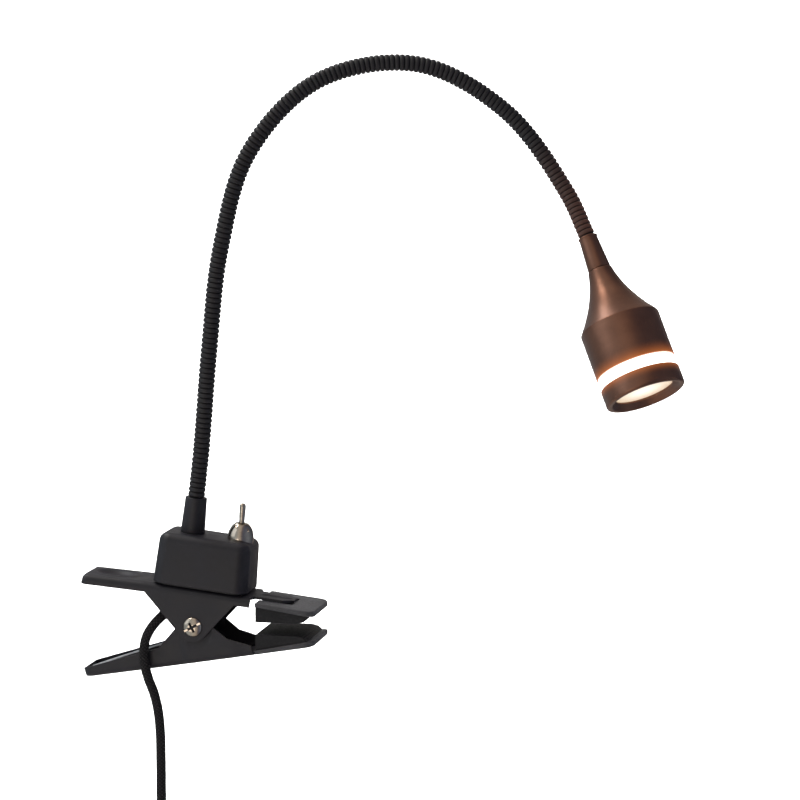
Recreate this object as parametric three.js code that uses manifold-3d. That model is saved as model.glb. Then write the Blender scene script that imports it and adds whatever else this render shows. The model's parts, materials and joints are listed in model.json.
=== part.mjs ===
// A clip-on reading lamp: a two-lever spring clip, a switch housing on top of it,
// a gooseneck and a small LED head. Millimetres, +Z up.
// The origin is the middle of the upper jaw pad's grip face, where the lamp is held.
// +X points the way the jaw points, -Y is the side with the screw head.
import * as THREE from "three";
import { mergeVertices } from "three/addons/utils/BufferGeometryUtils.js";
import Module from "manifold-3d";

const wasm = await Module();
wasm.setup();

// ---------------------------------------------------------------- driving dimensions
const DEG = Math.PI / 180;
const GAP = 0.3; // between pieces that touch
const X = new THREE.Vector3(1, 0, 0);
const Y = new THREE.Vector3(0, 1, 0);
const Z = new THREE.Vector3(0, 0, 1);

// Clip
const PIVOT_BACK = 45; // pivot behind the middle of the grip face
const PIVOT_DROP = 4; // pivot below the grip face
const CLIP_PITCH = 6.5; // upper lever and housing, jaw end down
const LOWER_PITCH = 9.8; // lower lever, jaw end up
const JAW_OPENING = 6; // between the two grip faces
const SHEET = 1.2;
const BEND = 1.6; // outside radius of the levers' folded edges
const PLATE_RISE = 16.5; // pivot axis to the outside of a lever's plate
const UPPER_WIDTH = 24.6;
const LEVER_SIDE_GAP = 0.7; // between the ears of the two levers
const HANDLE_LENGTH = 57.5; // pivot to the end of a handle
const HANDLE_FOLD = 26; // pivot to the handle's fold
const HANDLE_DROOP = 2; // degrees that the upper handle bends down
const HANDLE_FLANGE = 3.3;
const HANDLE_TAPER = 1.4; // the handles are narrower at their end by this
const EAR_RADIUS = 7.2;
const EAR_LEFT = 25; // where the ear's slanted edges meet the flange
const EAR_RIGHT = 18.5;
const PLATE_FRONT = 26; // pivot to the jaw end of the plates
const LOWER_EAR_RADIUS = 5.8;
const LOWER_EAR_LEFT = 19;
const LOWER_EAR_RIGHT = 15;
const LOWER_FLANGE = 3.4;
const LOWER_FLANGE_ROOT = 8.4; // flange height where it meets the ear
const TONGUE_WIDTH = 15;
const TONGUE_LENGTH = 19;
const TONGUE_SHEET = 0.8;

// Jaw pads
const PAD_LENGTH = 28;
const PAD_WIDTH = 34;
const PAD_FLAT = 20; // length of the grip face
const PAD_TIP = 3; // thickness at the rounded tip
const PAD_SKIN = 1.9; // overhanging lip along the pad's top
const PAD_INSET = 1.1; // body set in under the lip

// Pivot
const SCREW_RADIUS = 2.4;
const SCREW_HEAD_RADIUS = 4.8;
const SCREW_HEAD_HEIGHT = 2.7;
const WASHER_HEIGHT = 1;
const NUT_ACROSS = 8;
const NUT_HEIGHT = 4;
const SPACER_WALL = 0.8;

// Clamp spring
const WIRE_RADIUS = 0.8;
const COIL_RADIUS = 5;
const COIL_TURNS = 5.5;
const COIL_PITCH = 2;
const LEG_REACH = 54;

// Switch housing
const HOUSING_LENGTH = 42.4;
const HOUSING_DEPTH = 24.6;
const HOUSING_HEIGHT = 22.4;
const HOUSING_CENTRE = 0.6; // along the lever, from the pivot
const HOUSING_CORNER = 4.5;
const HOUSING_ROUND = 3; // rounding of the top edges
const HOUSING_WALL = 1.8;
const HOUSING_DRAFT = 2.4; // degrees, each side
const BASE_HEIGHT = 1.5;
const BASE_INSET = 1.3;
const BOSS_RADIUS = 2.8;
const HOUSING_SCREW_RADIUS = 1.4;

// Neck collar
const COLLAR_AT = -8; // along the lever, from the pivot
const COLLAR_HEIGHT = 17.8;
const COLLAR_BASE_RADIUS = 5.8;
const COLLAR_TOP_RADIUS = 5.1;
const COLLAR_BEVEL = 0.7;
const STUD_RADIUS = 3.8;
const STUD_LENGTH = 6;
const COLLAR_NUT_ACROSS = 11;
const COLLAR_NUT_HEIGHT = 2.6;

// Toggle switch
const TOGGLE_AT = 15.3;
const BUSHING_RADIUS = 3;
const BUSHING_BORE = 2.4;
const DOME_RADIUS = 6.2;
const DOME_HEIGHT = 8.7;
const DOME_HOLE = 2.4;
const TOGGLE_LENGTH = 10; // above the dome nut
const TOGGLE_TIP_RADIUS = 1.55;
const TOGGLE_NECK_RADIUS = 1.25;
const TOGGLE_LEAN = 10; // degrees to the -Y side, the ON place
const SWITCH_LENGTH = 10.2;
const SWITCH_OFFSET = -1.9; // body's middle from the bushing, clear of the housing's end wall
const SWITCH_DEPTH = 7.8;
const SWITCH_HEIGHT = 9.6;
const TERMINAL_LENGTH = 3.6;

// Gooseneck: a chain of equal chords with half a chord at each end
const NECK_RADIUS = 4;
const NECK_CHORD = 47;
const NECK_GAP = 1.2; // between two links, room for the bend
const NECK_LEAN = [CLIP_PITCH, 5, 8, 18.5, 45, 81, 118, 142, 149]; // from upright
const NECK_HEADING = [0, 27, 46, 39, 23, 15, 10, -2, -27]; // from +X towards +Y
const NECK_SIDES = 10;

// Lamp head, along its own axis from the neck outwards
const HEAD_LEAN = 149.8;
const HEAD_HEADING = -40;
const SLEEVE_CLEARANCE = 0.9; // room for the kink between the neck and the sleeve
const SLEEVE_LENGTH = 17;
const SLEEVE_TOP_RADIUS = 4.1;
const SLEEVE_END_RADIUS = 5.1;
const SLEEVE_SPIGOT_RADIUS = 3.6;
const SLEEVE_SPIGOT_LENGTH = 8;
const LEAD_BORE = 2.4; // in the sleeve and the collar
const FLARE_TOP_RADIUS = 5.7;
const FLARE_LENGTH = 28;
const FLARE_START_SLOPE = 0.18; // radius gained per length at the flare's small end
const HEAD_RADIUS = 19;
const BARREL_LENGTH = 22.6;
const SHELL_WALL = 1.5;
const RING_LENGTH = 5;
const RING_WALL = 3.6;
const RING_INSET = 0.3;
const BEZEL_LENGTH = 8.6;
const BEZEL_WALL = 4.4; // around the lens
const BEZEL_RIM = 2.8; // width of the front rim
const BEZEL_ROUND = 1.4;
const LENS_LIP = 0.6; // the bezel's lip over the lens
const LENS_THICKNESS = 1.6;
const LENS_DEPTH = 3.4; // the lens's face below the front rim
const SINK_HEIGHT = 8;
const SINK_FINS = 14;
const SINK_CORE_RADIUS = 11.5;
const BOARD_THICKNESS = 1.6;
const EMITTER_RADIUS = 3.6;
const REFLECTOR_WALL = 0.9;
const LEAD_RADIUS = 0.8;

// Supply cord
const CORD_RADIUS = 2.3;
const CORD_SIDES = 8;
const GROMMET_AT = [-13.2, -5.2]; // on the lever's plate
const GROMMET_RADIUS = 3.9;
const GROMMET_END_RADIUS = 3;
const GROMMET_LENGTH = 4.8;
// The hand-chosen route of the cord's free stretch, from the grommet down to the hank.
const CORD_ROUTE = [
  [-57.25, -5.2, 5.15],
  [-58.1, -6, 3],
  [-60.2, -8.2, 0.6],
  [-64.3, -11, -4],
  [-67.4, -13.5, -9.9],
  [-68.5, -14.4, -16.6],
  [-68.2, -14.4, -22.4],
  [-66.6, -13.8, -29.4],
  [-64.2, -13, -36.4],
  [-62.4, -12.3, -45],
  [-61.5, -12, -56],
  [-61.3, -12, -70],
  [-61.3, -12, -84],
  [-61.3, -12, -97],
];
const HANK_TOP = -95;
const HANK_RUN = 69; // straight part of a turn
const HANK_FOLD_RADIUS = 14; // middle of the innermost turn's fold
const HANK_LAYERS = 3; // turns beside each other, outwards
const HANK_ROWS = 2; // turns on each other, in Y
const TIE_WIDTH = 9;
const TIE_WALL = 1.2;
const RELIEF_LENGTH = 26;
const PLUG_HEIGHT = 40;
const PLUG_WIDTH = 30;
const PLUG_DEPTH = 24;
const PLUG_CORNER = 5;
const BLADE_LENGTH = 16;
const BLADE_WIDTH = 6.3;
const BLADE_THICKNESS = 1.5;
const BLADE_SPACING = 12.7;
const TAIL_LENGTH = 8; // from the hank to the plug's strain relief

// ---------------------------------------------------------------- finishes
const finish = (color, roughness, metalness) =>
  new THREE.MeshStandardMaterial({ color, roughness, metalness });
const blackPaint = finish(0x2b2a2e, 0.55, 0.2);
const bronze = finish(0x5a463e, 0.38, 0.9);
const neckBlack = finish(0x323133, 0.5, 0.6);
const nickel = finish(0xc4b9a8, 0.18, 1);
const steel = finish(0x9a9a98, 0.35, 1);
const softBlack = finish(0x3a3b3c, 0.8, 0);
const hardBlack = finish(0x1f1f21, 0.6, 0);
const cordBlack = finish(0x201f1f, 0.9, 0);
const acrylic = finish(0xfff4e2, 0.3, 0);
const aluminium = finish(0xb4b6b8, 0.4, 0.95);
const boardGreen = finish(0x2f5d3d, 0.5, 0.05);
const boardWhite = finish(0xe8e8e4, 0.5, 0.05);
const leadRed = finish(0x9c2f2a, 0.5, 0);
const brass = finish(0xb8974f, 0.3, 1);

// ---------------------------------------------------------------- solids
// One closed body with its faces out, from any closed three.js geometry.
function solid(geometry) {
  const bare = geometry.index ? geometry.toNonIndexed() : geometry.clone();
  bare.deleteAttribute("normal");
  bare.deleteAttribute("uv");
  const merged = mergeVertices(bare, 1e-4);
  const corners = [];
  for (let i = 0; i < merged.index.count; i += 3) {
    const [a, b, c] = [0, 1, 2].map((k) => merged.index.getX(i + k));
    if (a !== b && b !== c && c !== a) corners.push([a, b, c]);
  }
  const points = merged.attributes.position;
  const at = (i) => new THREE.Vector3().fromBufferAttribute(points, i);
  const volume = corners.reduce(
    (sum, [a, b, c]) => sum + at(a).dot(at(b).cross(at(c))),
    0,
  );
  const out = volume < 0 ? corners.map(([a, b, c]) => [a, c, b]) : corners;
  const mesh = new wasm.Mesh({
    numProp: 3,
    vertProperties: new Float32Array(points.array),
    triVerts: new Uint32Array(out.flat()),
  });
  return new wasm.Manifold(mesh);
}

function geometryOf(body) {
  const mesh = body.getMesh();
  const geometry = new THREE.BufferGeometry();
  const positions = new Float32Array(mesh.vertProperties);
  geometry.setAttribute("position", new THREE.BufferAttribute(positions, 3));
  geometry.setIndex(Array.from(mesh.triVerts));
  const flat = geometry.toNonIndexed();
  flat.computeVertexNormals();
  return flat;
}

const joined = (...bodies) => bodies.reduce((all, body) => all.add(body));
const cut = (body, ...tools) => tools.reduce((left, tool) => left.subtract(tool), body);

const outline = (points) => new THREE.Shape(points.map(([u, v]) => new THREE.Vector2(u, v)));

function extruded(shape, depth, curveSegments = 8) {
  return new THREE.ExtrudeGeometry(shape, { depth, bevelEnabled: false, curveSegments });
}

// An outline in the XZ plane, with its thickness from y0 to y1.
function sidePlate(shape, y0, y1, curveSegments) {
  const geometry = extruded(shape, y1 - y0, curveSegments);
  geometry.applyMatrix4(new THREE.Matrix4().makeBasis(X, Z, Y.clone().negate()));
  return geometry.translate(0, y1, 0);
}

// An outline in the YZ plane, run along X from x0 to x1.
function sectionRun(shape, x0, x1, curveSegments) {
  const geometry = extruded(shape, x1 - x0, curveSegments);
  geometry.applyMatrix4(new THREE.Matrix4().makeBasis(Y, Z, X));
  return geometry.translate(x0, 0, 0);
}

// A profile of [radius, height] points, spun about Z.
function turned(profile, segments = 24) {
  const points = profile.map(([radius, height]) => new THREE.Vector2(radius, height));
  return new THREE.LatheGeometry(points, segments).rotateX(Math.PI / 2);
}

// A closed profile with a bore: the last point meets the first.
const turnedRing = (profile, segments) => turned([...profile, profile[0]], segments);

function rod(radius, z0, z1, segments = 20) {
  return turned([[0, z0], [radius, z0], [radius, z1], [0, z1]], segments);
}

function block(x0, x1, y0, y1, z0, z1) {
  const geometry = new THREE.BoxGeometry(x1 - x0, y1 - y0, z1 - z0);
  return geometry.translate((x0 + x1) / 2, (y0 + y1) / 2, (z0 + z1) / 2);
}

// A round tube or wire along a curve, closed at both ends.
function alongCurve(curve, radius, sides, steps) {
  const section = outline(
    Array.from({ length: sides }, (_, i) => {
      const turn = (2 * Math.PI * i) / sides;
      return [radius * Math.cos(turn), radius * Math.sin(turn)];
    }),
  );
  return new THREE.ExtrudeGeometry(section, { steps, bevelEnabled: false, extrudePath: curve });
}

const vectors = (points) => points.map(([x, y, z]) => new THREE.Vector3(x, y, z));
const smooth = (points) => new THREE.CatmullRomCurve3(vectors(points));

function hexagon(across, z0, z1, bore) {
  const corner = across / 2 / Math.cos(30 * DEG);
  const nut = new THREE.CylinderGeometry(corner, corner, z1 - z0, 6);
  nut.rotateX(Math.PI / 2).translate(0, 0, (z0 + z1) / 2);
  return cut(solid(nut), solid(rod(bore, z0 - 1, z1 + 1)));
}

// Points of an arc, from one angle to another in degrees.
function arc(u, v, radius, from, to, steps) {
  return Array.from({ length: steps + 1 }, (_, i) => {
    const angle = (from + ((to - from) * i) / steps) * DEG;
    return [u + radius * Math.cos(angle), v + radius * Math.sin(angle)];
  });
}

function roundedRectangle(width, height, corner, steps = 4) {
  const u = width / 2 - corner;
  const v = height / 2 - corner;
  return outline([
    ...arc(u, v, corner, 0, 90, steps),
    ...arc(-u, v, corner, 90, 180, steps),
    ...arc(-u, -v, corner, 180, 270, steps),
    ...arc(u, -v, corner, 270, 360, steps),
  ]);
}

// ---------------------------------------------------------------- assembly groups
const lamp = new THREE.Group();
const clip = new THREE.Group(); // upper lever and housing, pitched about the pivot
clip.position.set(-PIVOT_BACK, 0, -PIVOT_DROP);
clip.rotation.y = CLIP_PITCH * DEG;
const lower = new THREE.Group(); // lower lever, pitched the other way
lower.position.copy(clip.position);
lower.rotation.y = -LOWER_PITCH * DEG;
lamp.add(clip, lower);

function place(parent, name, body, material) {
  const geometry = body.isBufferGeometry ? body : geometryOf(body);
  const mesh = new THREE.Mesh(geometry, material);
  mesh.name = name;
  parent.add(mesh);
  return mesh;
}

// ---------------------------------------------------------------- levers
// A channel open downwards, with folded edges; its plate's outside lies at height top.
function channel(width, top, depth, x0, x1) {
  const half = width / 2;
  const bottom = top - depth;
  const inner = Math.max(BEND - SHEET, 0.2);
  const section = outline([
    [-half, bottom],
    ...arc(-half + BEND, top - BEND, BEND, 180, 90, 4),
    ...arc(half - BEND, top - BEND, BEND, 90, 0, 4),
    [half, bottom],
    [half - SHEET, bottom],
    ...arc(half - SHEET - inner, top - SHEET - inner, inner, 0, 90, 3),
    ...arc(-half + SHEET + inner, top - SHEET - inner, inner, 90, 180, 3),
    [-half + SHEET, bottom],
  ]);
  return solid(sectionRun(section, x0, x1));
}

// Side outline of a lever's ears: slanted edges that run tangent to the round at the pivot.
function earOutline(radius, left, right, edge, top, ends) {
  const away = (x) => {
    const reach = Math.hypot(x, edge);
    return Math.acos(radius / reach) / DEG;
  };
  const leftEnd = Math.atan2(edge, -left) / DEG + away(left);
  const rightEnd = Math.atan2(edge, right) / DEG - away(right) + 360;
  return outline([
    [-ends[0], top],
    [-ends[0], edge],
    [-left, edge],
    ...arc(0, 0, radius, leftEnd, rightEnd, 10),
    [right, edge],
    [ends[1], edge],
    [ends[1], top],
  ]);
}

// The plan of a handle's end, cut away from a straight channel.
function handleEndCuts(width, taper, end, corner) {
  const half = width / 2;
  const tip = half - taper / 2;
  const plan = outline([
    [-end - 10, -half - 1],
    [-HANDLE_FOLD, -half - 1],
    [-HANDLE_FOLD, -half],
    [-end + corner, -tip],
    ...arc(-end + corner, -tip + corner, corner, 270, 180, 4),
    ...arc(-end + corner, tip - corner, corner, 180, 90, 4),
    [-HANDLE_FOLD, half],
    [-HANDLE_FOLD, half + 1],
    [-end - 10, half + 1],
  ]);
  return solid(extruded(plan, 80).translate(0, 0, -40));
}

const pivotHole = solid(rod(SCREW_RADIUS + GAP, -40, 40).rotateX(Math.PI / 2));
const plateUnder = PLATE_RISE - SHEET;
const flangeEdge = PLATE_RISE - HANDLE_FLANGE;

function tongue(top) {
  const half = TONGUE_WIDTH / 2;
  const end = PLATE_FRONT + TONGUE_LENGTH;
  const plan = outline([
    [PLATE_FRONT - 2.5, -half],
    [end - 7, -half],
    ...arc(end - 7, -half + 4, 4, -70, -20, 2),
    [end, 0],
    ...arc(end - 7, half - 4, 4, 20, 70, 2),
    [end - 7, half],
    [PLATE_FRONT - 2.5, half],
  ]);
  return solid(extruded(plan, TONGUE_SHEET).translate(0, 0, top - TONGUE_SHEET));
}

function upperLever() {
  const depth = PLATE_RISE + EAR_RADIUS + 1;
  const ears = earOutline(
    EAR_RADIUS, EAR_LEFT, EAR_RIGHT, flangeEdge, PLATE_RISE + 1, [HANDLE_FOLD + 1, PLATE_FRONT],
  );
  const sides = solid(sidePlate(ears, -UPPER_WIDTH, UPPER_WIDTH));
  const middle = channel(UPPER_WIDTH, PLATE_RISE, depth, -HANDLE_FOLD, PLATE_FRONT);
  const handle = channel(UPPER_WIDTH, PLATE_RISE, HANDLE_FLANGE, -HANDLE_LENGTH, -HANDLE_FOLD + 0.5);
  const droop = new THREE.Matrix4().makeTranslation(-HANDLE_FOLD, 0, PLATE_RISE);
  droop.multiply(new THREE.Matrix4().makeRotationY(-HANDLE_DROOP * DEG));
  droop.multiply(new THREE.Matrix4().makeTranslation(HANDLE_FOLD, 0, -PLATE_RISE));
  const shaped = cut(handle, handleEndCuts(UPPER_WIDTH, HANDLE_TAPER, HANDLE_LENGTH, 2.5));
  const bent = solid(geometryOf(shaped).applyMatrix4(droop));
  const body = joined(middle.intersect(sides), bent, tongue(PLATE_RISE));
  const cordHole = solid(rod(CORD_RADIUS + GAP, 5, 30).translate(...GROMMET_AT, 0));
  return cut(body, pivotHole, cordHole, ...housingScrewPlaces.map(([x, y]) =>
    solid(rod(HOUSING_SCREW_RADIUS + GAP, 5, 30, 16).translate(x, y, 0))));
}

const LOWER_WIDTH = UPPER_WIDTH - 2 * SHEET - 2 * LEVER_SIDE_GAP;

// Built plate-up like the upper lever, then turned over.
function lowerLever() {
  const depth = PLATE_RISE + LOWER_EAR_RADIUS + 1;
  const rootEdge = PLATE_RISE - LOWER_FLANGE_ROOT;
  const ears = earOutline(
    LOWER_EAR_RADIUS, LOWER_EAR_LEFT, LOWER_EAR_RIGHT, rootEdge, PLATE_RISE + 1,
    [HANDLE_FOLD, PLATE_FRONT],
  );
  const front = outline([
    [-HANDLE_FOLD, PLATE_RISE + 1],
    [-HANDLE_FOLD, -LOWER_EAR_RADIUS - 1],
    [LOWER_EAR_RIGHT, -LOWER_EAR_RADIUS - 1],
    [LOWER_EAR_RIGHT, rootEdge],
    [PLATE_FRONT, PLATE_RISE - LOWER_FLANGE],
    [PLATE_FRONT, PLATE_RISE + 1],
  ]);
  const sides = solid(sidePlate(ears, -UPPER_WIDTH, UPPER_WIDTH));
  const slope = solid(sidePlate(front, -UPPER_WIDTH, UPPER_WIDTH));
  const middle = channel(LOWER_WIDTH, PLATE_RISE, depth, -HANDLE_FOLD, PLATE_FRONT);
  const rest = outline([
    [-HANDLE_LENGTH, PLATE_RISE + 1],
    [-HANDLE_LENGTH, PLATE_RISE - LOWER_FLANGE],
    [-HANDLE_FOLD, rootEdge],
    [-HANDLE_FOLD + 0.5, rootEdge],
    [-HANDLE_FOLD + 0.5, PLATE_RISE + 1],
  ]);
  const handle = channel(LOWER_WIDTH, PLATE_RISE, depth, -HANDLE_LENGTH, -HANDLE_FOLD + 0.5);
  const handleSides = solid(sidePlate(rest, -UPPER_WIDTH, UPPER_WIDTH));
  const shaped = cut(
    handle.intersect(handleSides),
    handleEndCuts(LOWER_WIDTH, HANDLE_TAPER, HANDLE_LENGTH, 4),
  );
  const body = joined(middle.intersect(sides).intersect(slope), shaped, tongue(PLATE_RISE));
  return geometryOf(cut(body, pivotHole)).rotateX(Math.PI);
}

// ---------------------------------------------------------------- housing
const housingFoot = PLATE_RISE + GAP + BASE_HEIGHT + GAP;
const housingTop = housingFoot + HOUSING_HEIGHT;
const ceiling = housingTop - HOUSING_WALL;
const housingScrewPlaces = [[-15.6, 6.4], [4.6, -6.4]];

// A drafted box with round corners and a rounded top; inset shrinks it on every side.
function housingBlock(inset, foot, top) {
  const round = Math.max(HOUSING_ROUND - inset, 0.8);
  const corner = Math.max(HOUSING_CORNER - inset, 1.2);
  const flat = roundedRectangle(
    HOUSING_LENGTH - 2 * inset - 2 * round, HOUSING_DEPTH - 2 * inset - 2 * round, corner - round + 1.2,
  );
  const geometry = new THREE.ExtrudeGeometry(flat, {
    depth: top - foot - round + 4,
    bevelThickness: round,
    bevelSize: round,
    bevelSegments: 4,
    curveSegments: 4,
  });
  geometry.translate(0, 0, foot - 4);
  const points = geometry.attributes.position;
  const draft = Math.tan(HOUSING_DRAFT * DEG);
  for (let i = 0; i < points.count; i += 1) {
    const shrink = Math.max(points.getZ(i) - housingFoot, 0) * draft;
    points.setX(i, points.getX(i) * (1 - shrink / (HOUSING_LENGTH / 2)));
    points.setY(i, points.getY(i) * (1 - shrink / (HOUSING_DEPTH / 2)));
  }
  const below = solid(block(-50, 50, -50, 50, foot - 30, foot));
  return cut(solid(geometry), below);
}

function housingShell() {
  const outside = housingBlock(0, housingFoot, housingTop);
  const inside = housingBlock(HOUSING_WALL, housingFoot - 2, ceiling);
  const bosses = housingScrewPlaces.map(([x, y]) =>
    solid(rod(BOSS_RADIUS, housingFoot, ceiling + 0.5, 20).translate(x - HOUSING_CENTRE, y, 0)));
  const bossBores = housingScrewPlaces.map(([x, y]) =>
    solid(rod(HOUSING_SCREW_RADIUS + GAP, 0, housingFoot + 8, 16).translate(x - HOUSING_CENTRE, y, 0)));
  const collarHole = solid(rod(STUD_RADIUS + GAP, 0, 60).translate(COLLAR_AT - HOUSING_CENTRE, 0, 0));
  const toggleHole = solid(rod(BUSHING_RADIUS + GAP, 0, 60).translate(TOGGLE_AT - HOUSING_CENTRE, 0, 0));
  return cut(joined(cut(outside, inside), ...bosses), collarHole, toggleHole, ...bossBores);
}

function housingBase() {
  const plan = roundedRectangle(
    HOUSING_LENGTH - 2 * BASE_INSET, HOUSING_DEPTH - 2 * BASE_INSET, HOUSING_CORNER - BASE_INSET,
  );
  const plate = solid(extruded(plan, BASE_HEIGHT).translate(HOUSING_CENTRE, 0, PLATE_RISE + GAP));
  const cordHole = solid(rod(CORD_RADIUS + GAP, 0, 30).translate(...GROMMET_AT, 0));
  const screwHoles = housingScrewPlaces.map(([x, y]) =>
    solid(rod(HOUSING_SCREW_RADIUS + GAP, 5, 30, 16).translate(x, y, 0)));
  return cut(plate, cordHole, ...screwHoles);
}

place(clip, "upper_lever", upperLever(), blackPaint);
place(lower, "lower_lever", lowerLever(), blackPaint);
place(clip, "housing_base", housingBase(), hardBlack);
place(clip, "switch_housing", housingShell(), blackPaint).position.x = HOUSING_CENTRE;

housingScrewPlaces.forEach(([x, y], i) => {
  const under = plateUnder - GAP;
  const screw = turned([
    [0, under - 1.8],
    [1.6, under - 1.7],
    [2.6, under - 0.9],
    [2.7, under],
    [HOUSING_SCREW_RADIUS, under],
    [HOUSING_SCREW_RADIUS, housingFoot + 7],
    [0, housingFoot + 7.6],
  ], 20);
  place(clip, `housing_screw_${i + 1}`, solid(screw), steel).position.set(x, y, 0);
});

// ---------------------------------------------------------------- jaw pads
clip.updateMatrix();
lower.updateMatrix();

// What a tongue leaves room for in the pad under it, as a solid in the lamp's frame.
function tongueRoom(matrix) {
  const half = TONGUE_WIDTH / 2 + GAP;
  const room = block(
    0, PLATE_FRONT + TONGUE_LENGTH + GAP, -half, half, PLATE_RISE - TONGUE_SHEET - GAP, PLATE_RISE + 20,
  );
  return solid(room.applyMatrix4(matrix));
}

// A pad with its grip face on z = 0, centred on x = 0. Its top is a line, rise high at x = 0.
function padBody(rise, slope) {
  const back = -PAD_LENGTH / 2;
  const nose = PAD_TIP / 2;
  const tipX = PAD_LENGTH / 2 - nose;
  const topAt = (x) => rise + slope * x;
  const tipZ = topAt(tipX) - nose;
  const flatEnd = back + PAD_FLAT;
  const half = PAD_WIDTH / 2;
  const coreOutline = outline([
    [back, 0],
    [flatEnd, 0],
    [(flatEnd + tipX) / 2, tipZ * 0.2],
    [tipX - 0.6, tipZ - 0.4 * nose],
    [tipX - 1.5, topAt(tipX - 1.5) - PAD_SKIN / 2],
    [back, topAt(back) - PAD_SKIN / 2],
  ]);
  const lipOutline = outline([
    [back, topAt(back) - PAD_SKIN],
    [tipX - 5, topAt(tipX - 5) - PAD_SKIN],
    ...arc(tipX, tipZ, nose, 260, 440, 6),
    [back, topAt(back)],
  ]);
  const core = solid(sidePlate(coreOutline, -half + PAD_INSET, half - PAD_INSET));
  const lip = solid(sidePlate(lipOutline, -half, half));
  const corner = 4;
  const front = PAD_LENGTH / 2;
  const plan = outline([
    [back - 1, -half - 1],
    [front - corner, -half],
    ...arc(front - corner, -half + corner, corner, 280, 360, 4),
    ...arc(front - corner, half - corner, corner, 0, 90, 4),
    [back - 1, half + 1],
  ]);
  return joined(core, lip).intersect(solid(extruded(plan, 60).translate(0, 0, -30)));
}

// Height over the grip face of a lever's plate, straight above or below the origin.
function plateOver(pitch, drop) {
  const along = (PIVOT_BACK - PLATE_RISE * Math.sin(pitch)) / Math.cos(pitch);
  return PLATE_RISE * Math.cos(pitch) - along * Math.sin(pitch) - drop;
}

const upperPitch = CLIP_PITCH * DEG;
const lowerPitch = LOWER_PITCH * DEG;
const upperPad = padBody(plateOver(upperPitch, PIVOT_DROP), -Math.tan(upperPitch));
place(lamp, "upper_jaw_pad", cut(upperPad, tongueRoom(clip.matrix)), softBlack);

const turnOver = new THREE.Matrix4().makeRotationX(Math.PI);
const lowerRise = plateOver(lowerPitch, JAW_OPENING - PIVOT_DROP);
const lowerPad = geometryOf(padBody(lowerRise, -Math.tan(lowerPitch)));
lowerPad.applyMatrix4(turnOver).translate(0, 0, -JAW_OPENING);
const lowerRoom = tongueRoom(lower.matrix.clone().multiply(turnOver));
place(lamp, "lower_jaw_pad", cut(solid(lowerPad), lowerRoom), softBlack);

// ---------------------------------------------------------------- pivot
const upperHalf = UPPER_WIDTH / 2;
const headSeat = upperHalf + GAP;

function pivotScrew() {
  const seat = headSeat + WASHER_HEIGHT + GAP;
  const end = seat + NUT_HEIGHT + 1.2;
  const crown = headSeat + SCREW_HEAD_HEIGHT;
  const profile = turned([
    [0, -end],
    [SCREW_RADIUS - 0.4, -end],
    [SCREW_RADIUS, -end + 0.6],
    [SCREW_RADIUS, headSeat],
    [SCREW_HEAD_RADIUS - 0.2, headSeat],
    [SCREW_HEAD_RADIUS, headSeat + 0.5],
    [SCREW_HEAD_RADIUS * 0.93, headSeat + 1.5],
    [SCREW_HEAD_RADIUS * 0.72, crown - 0.45],
    [SCREW_HEAD_RADIUS * 0.4, crown - 0.1],
    [0, crown],
  ], 20);
  const slot = (turn) => {
    const arm = block(-2.5, 2.5, -0.55, 0.55, crown - 1.5, crown + 1);
    return solid(arm.rotateZ(turn));
  };
  const body = cut(solid(profile), slot(20 * DEG), slot(110 * DEG));
  return geometryOf(body).rotateX(Math.PI / 2);
}

const alongPivot = (geometry) => geometry.rotateX(Math.PI / 2);
const screwHole = SCREW_RADIUS + GAP;
const WASHER_RADIUS = 5;
const washer = [
  [screwHole, 0],
  [WASHER_RADIUS, 0],
  [WASHER_RADIUS, -WASHER_HEIGHT],
  [screwHole, -WASHER_HEIGHT],
];
const washerGeometry = turnedRing(washer, 16).translate(0, 0, -headSeat);
const nutTop = -headSeat - WASHER_HEIGHT - GAP;
const pivotNut = hexagon(NUT_ACROSS, nutTop - NUT_HEIGHT, nutTop, screwHole);
const spacerHalf = LOWER_WIDTH / 2 - SHEET - GAP;
const spacer = [
  [screwHole, -spacerHalf],
  [screwHole + SPACER_WALL, -spacerHalf],
  [screwHole + SPACER_WALL, spacerHalf],
  [screwHole, spacerHalf],
];
place(clip, "pivot_screw", pivotScrew(), nickel);
place(clip, "pivot_washer", solid(alongPivot(washerGeometry)), steel);
place(clip, "pivot_nut", alongPivot(geometryOf(pivotNut)), steel);
place(clip, "pivot_spacer", solid(alongPivot(turnedRing(spacer, 16))), steel);

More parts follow.
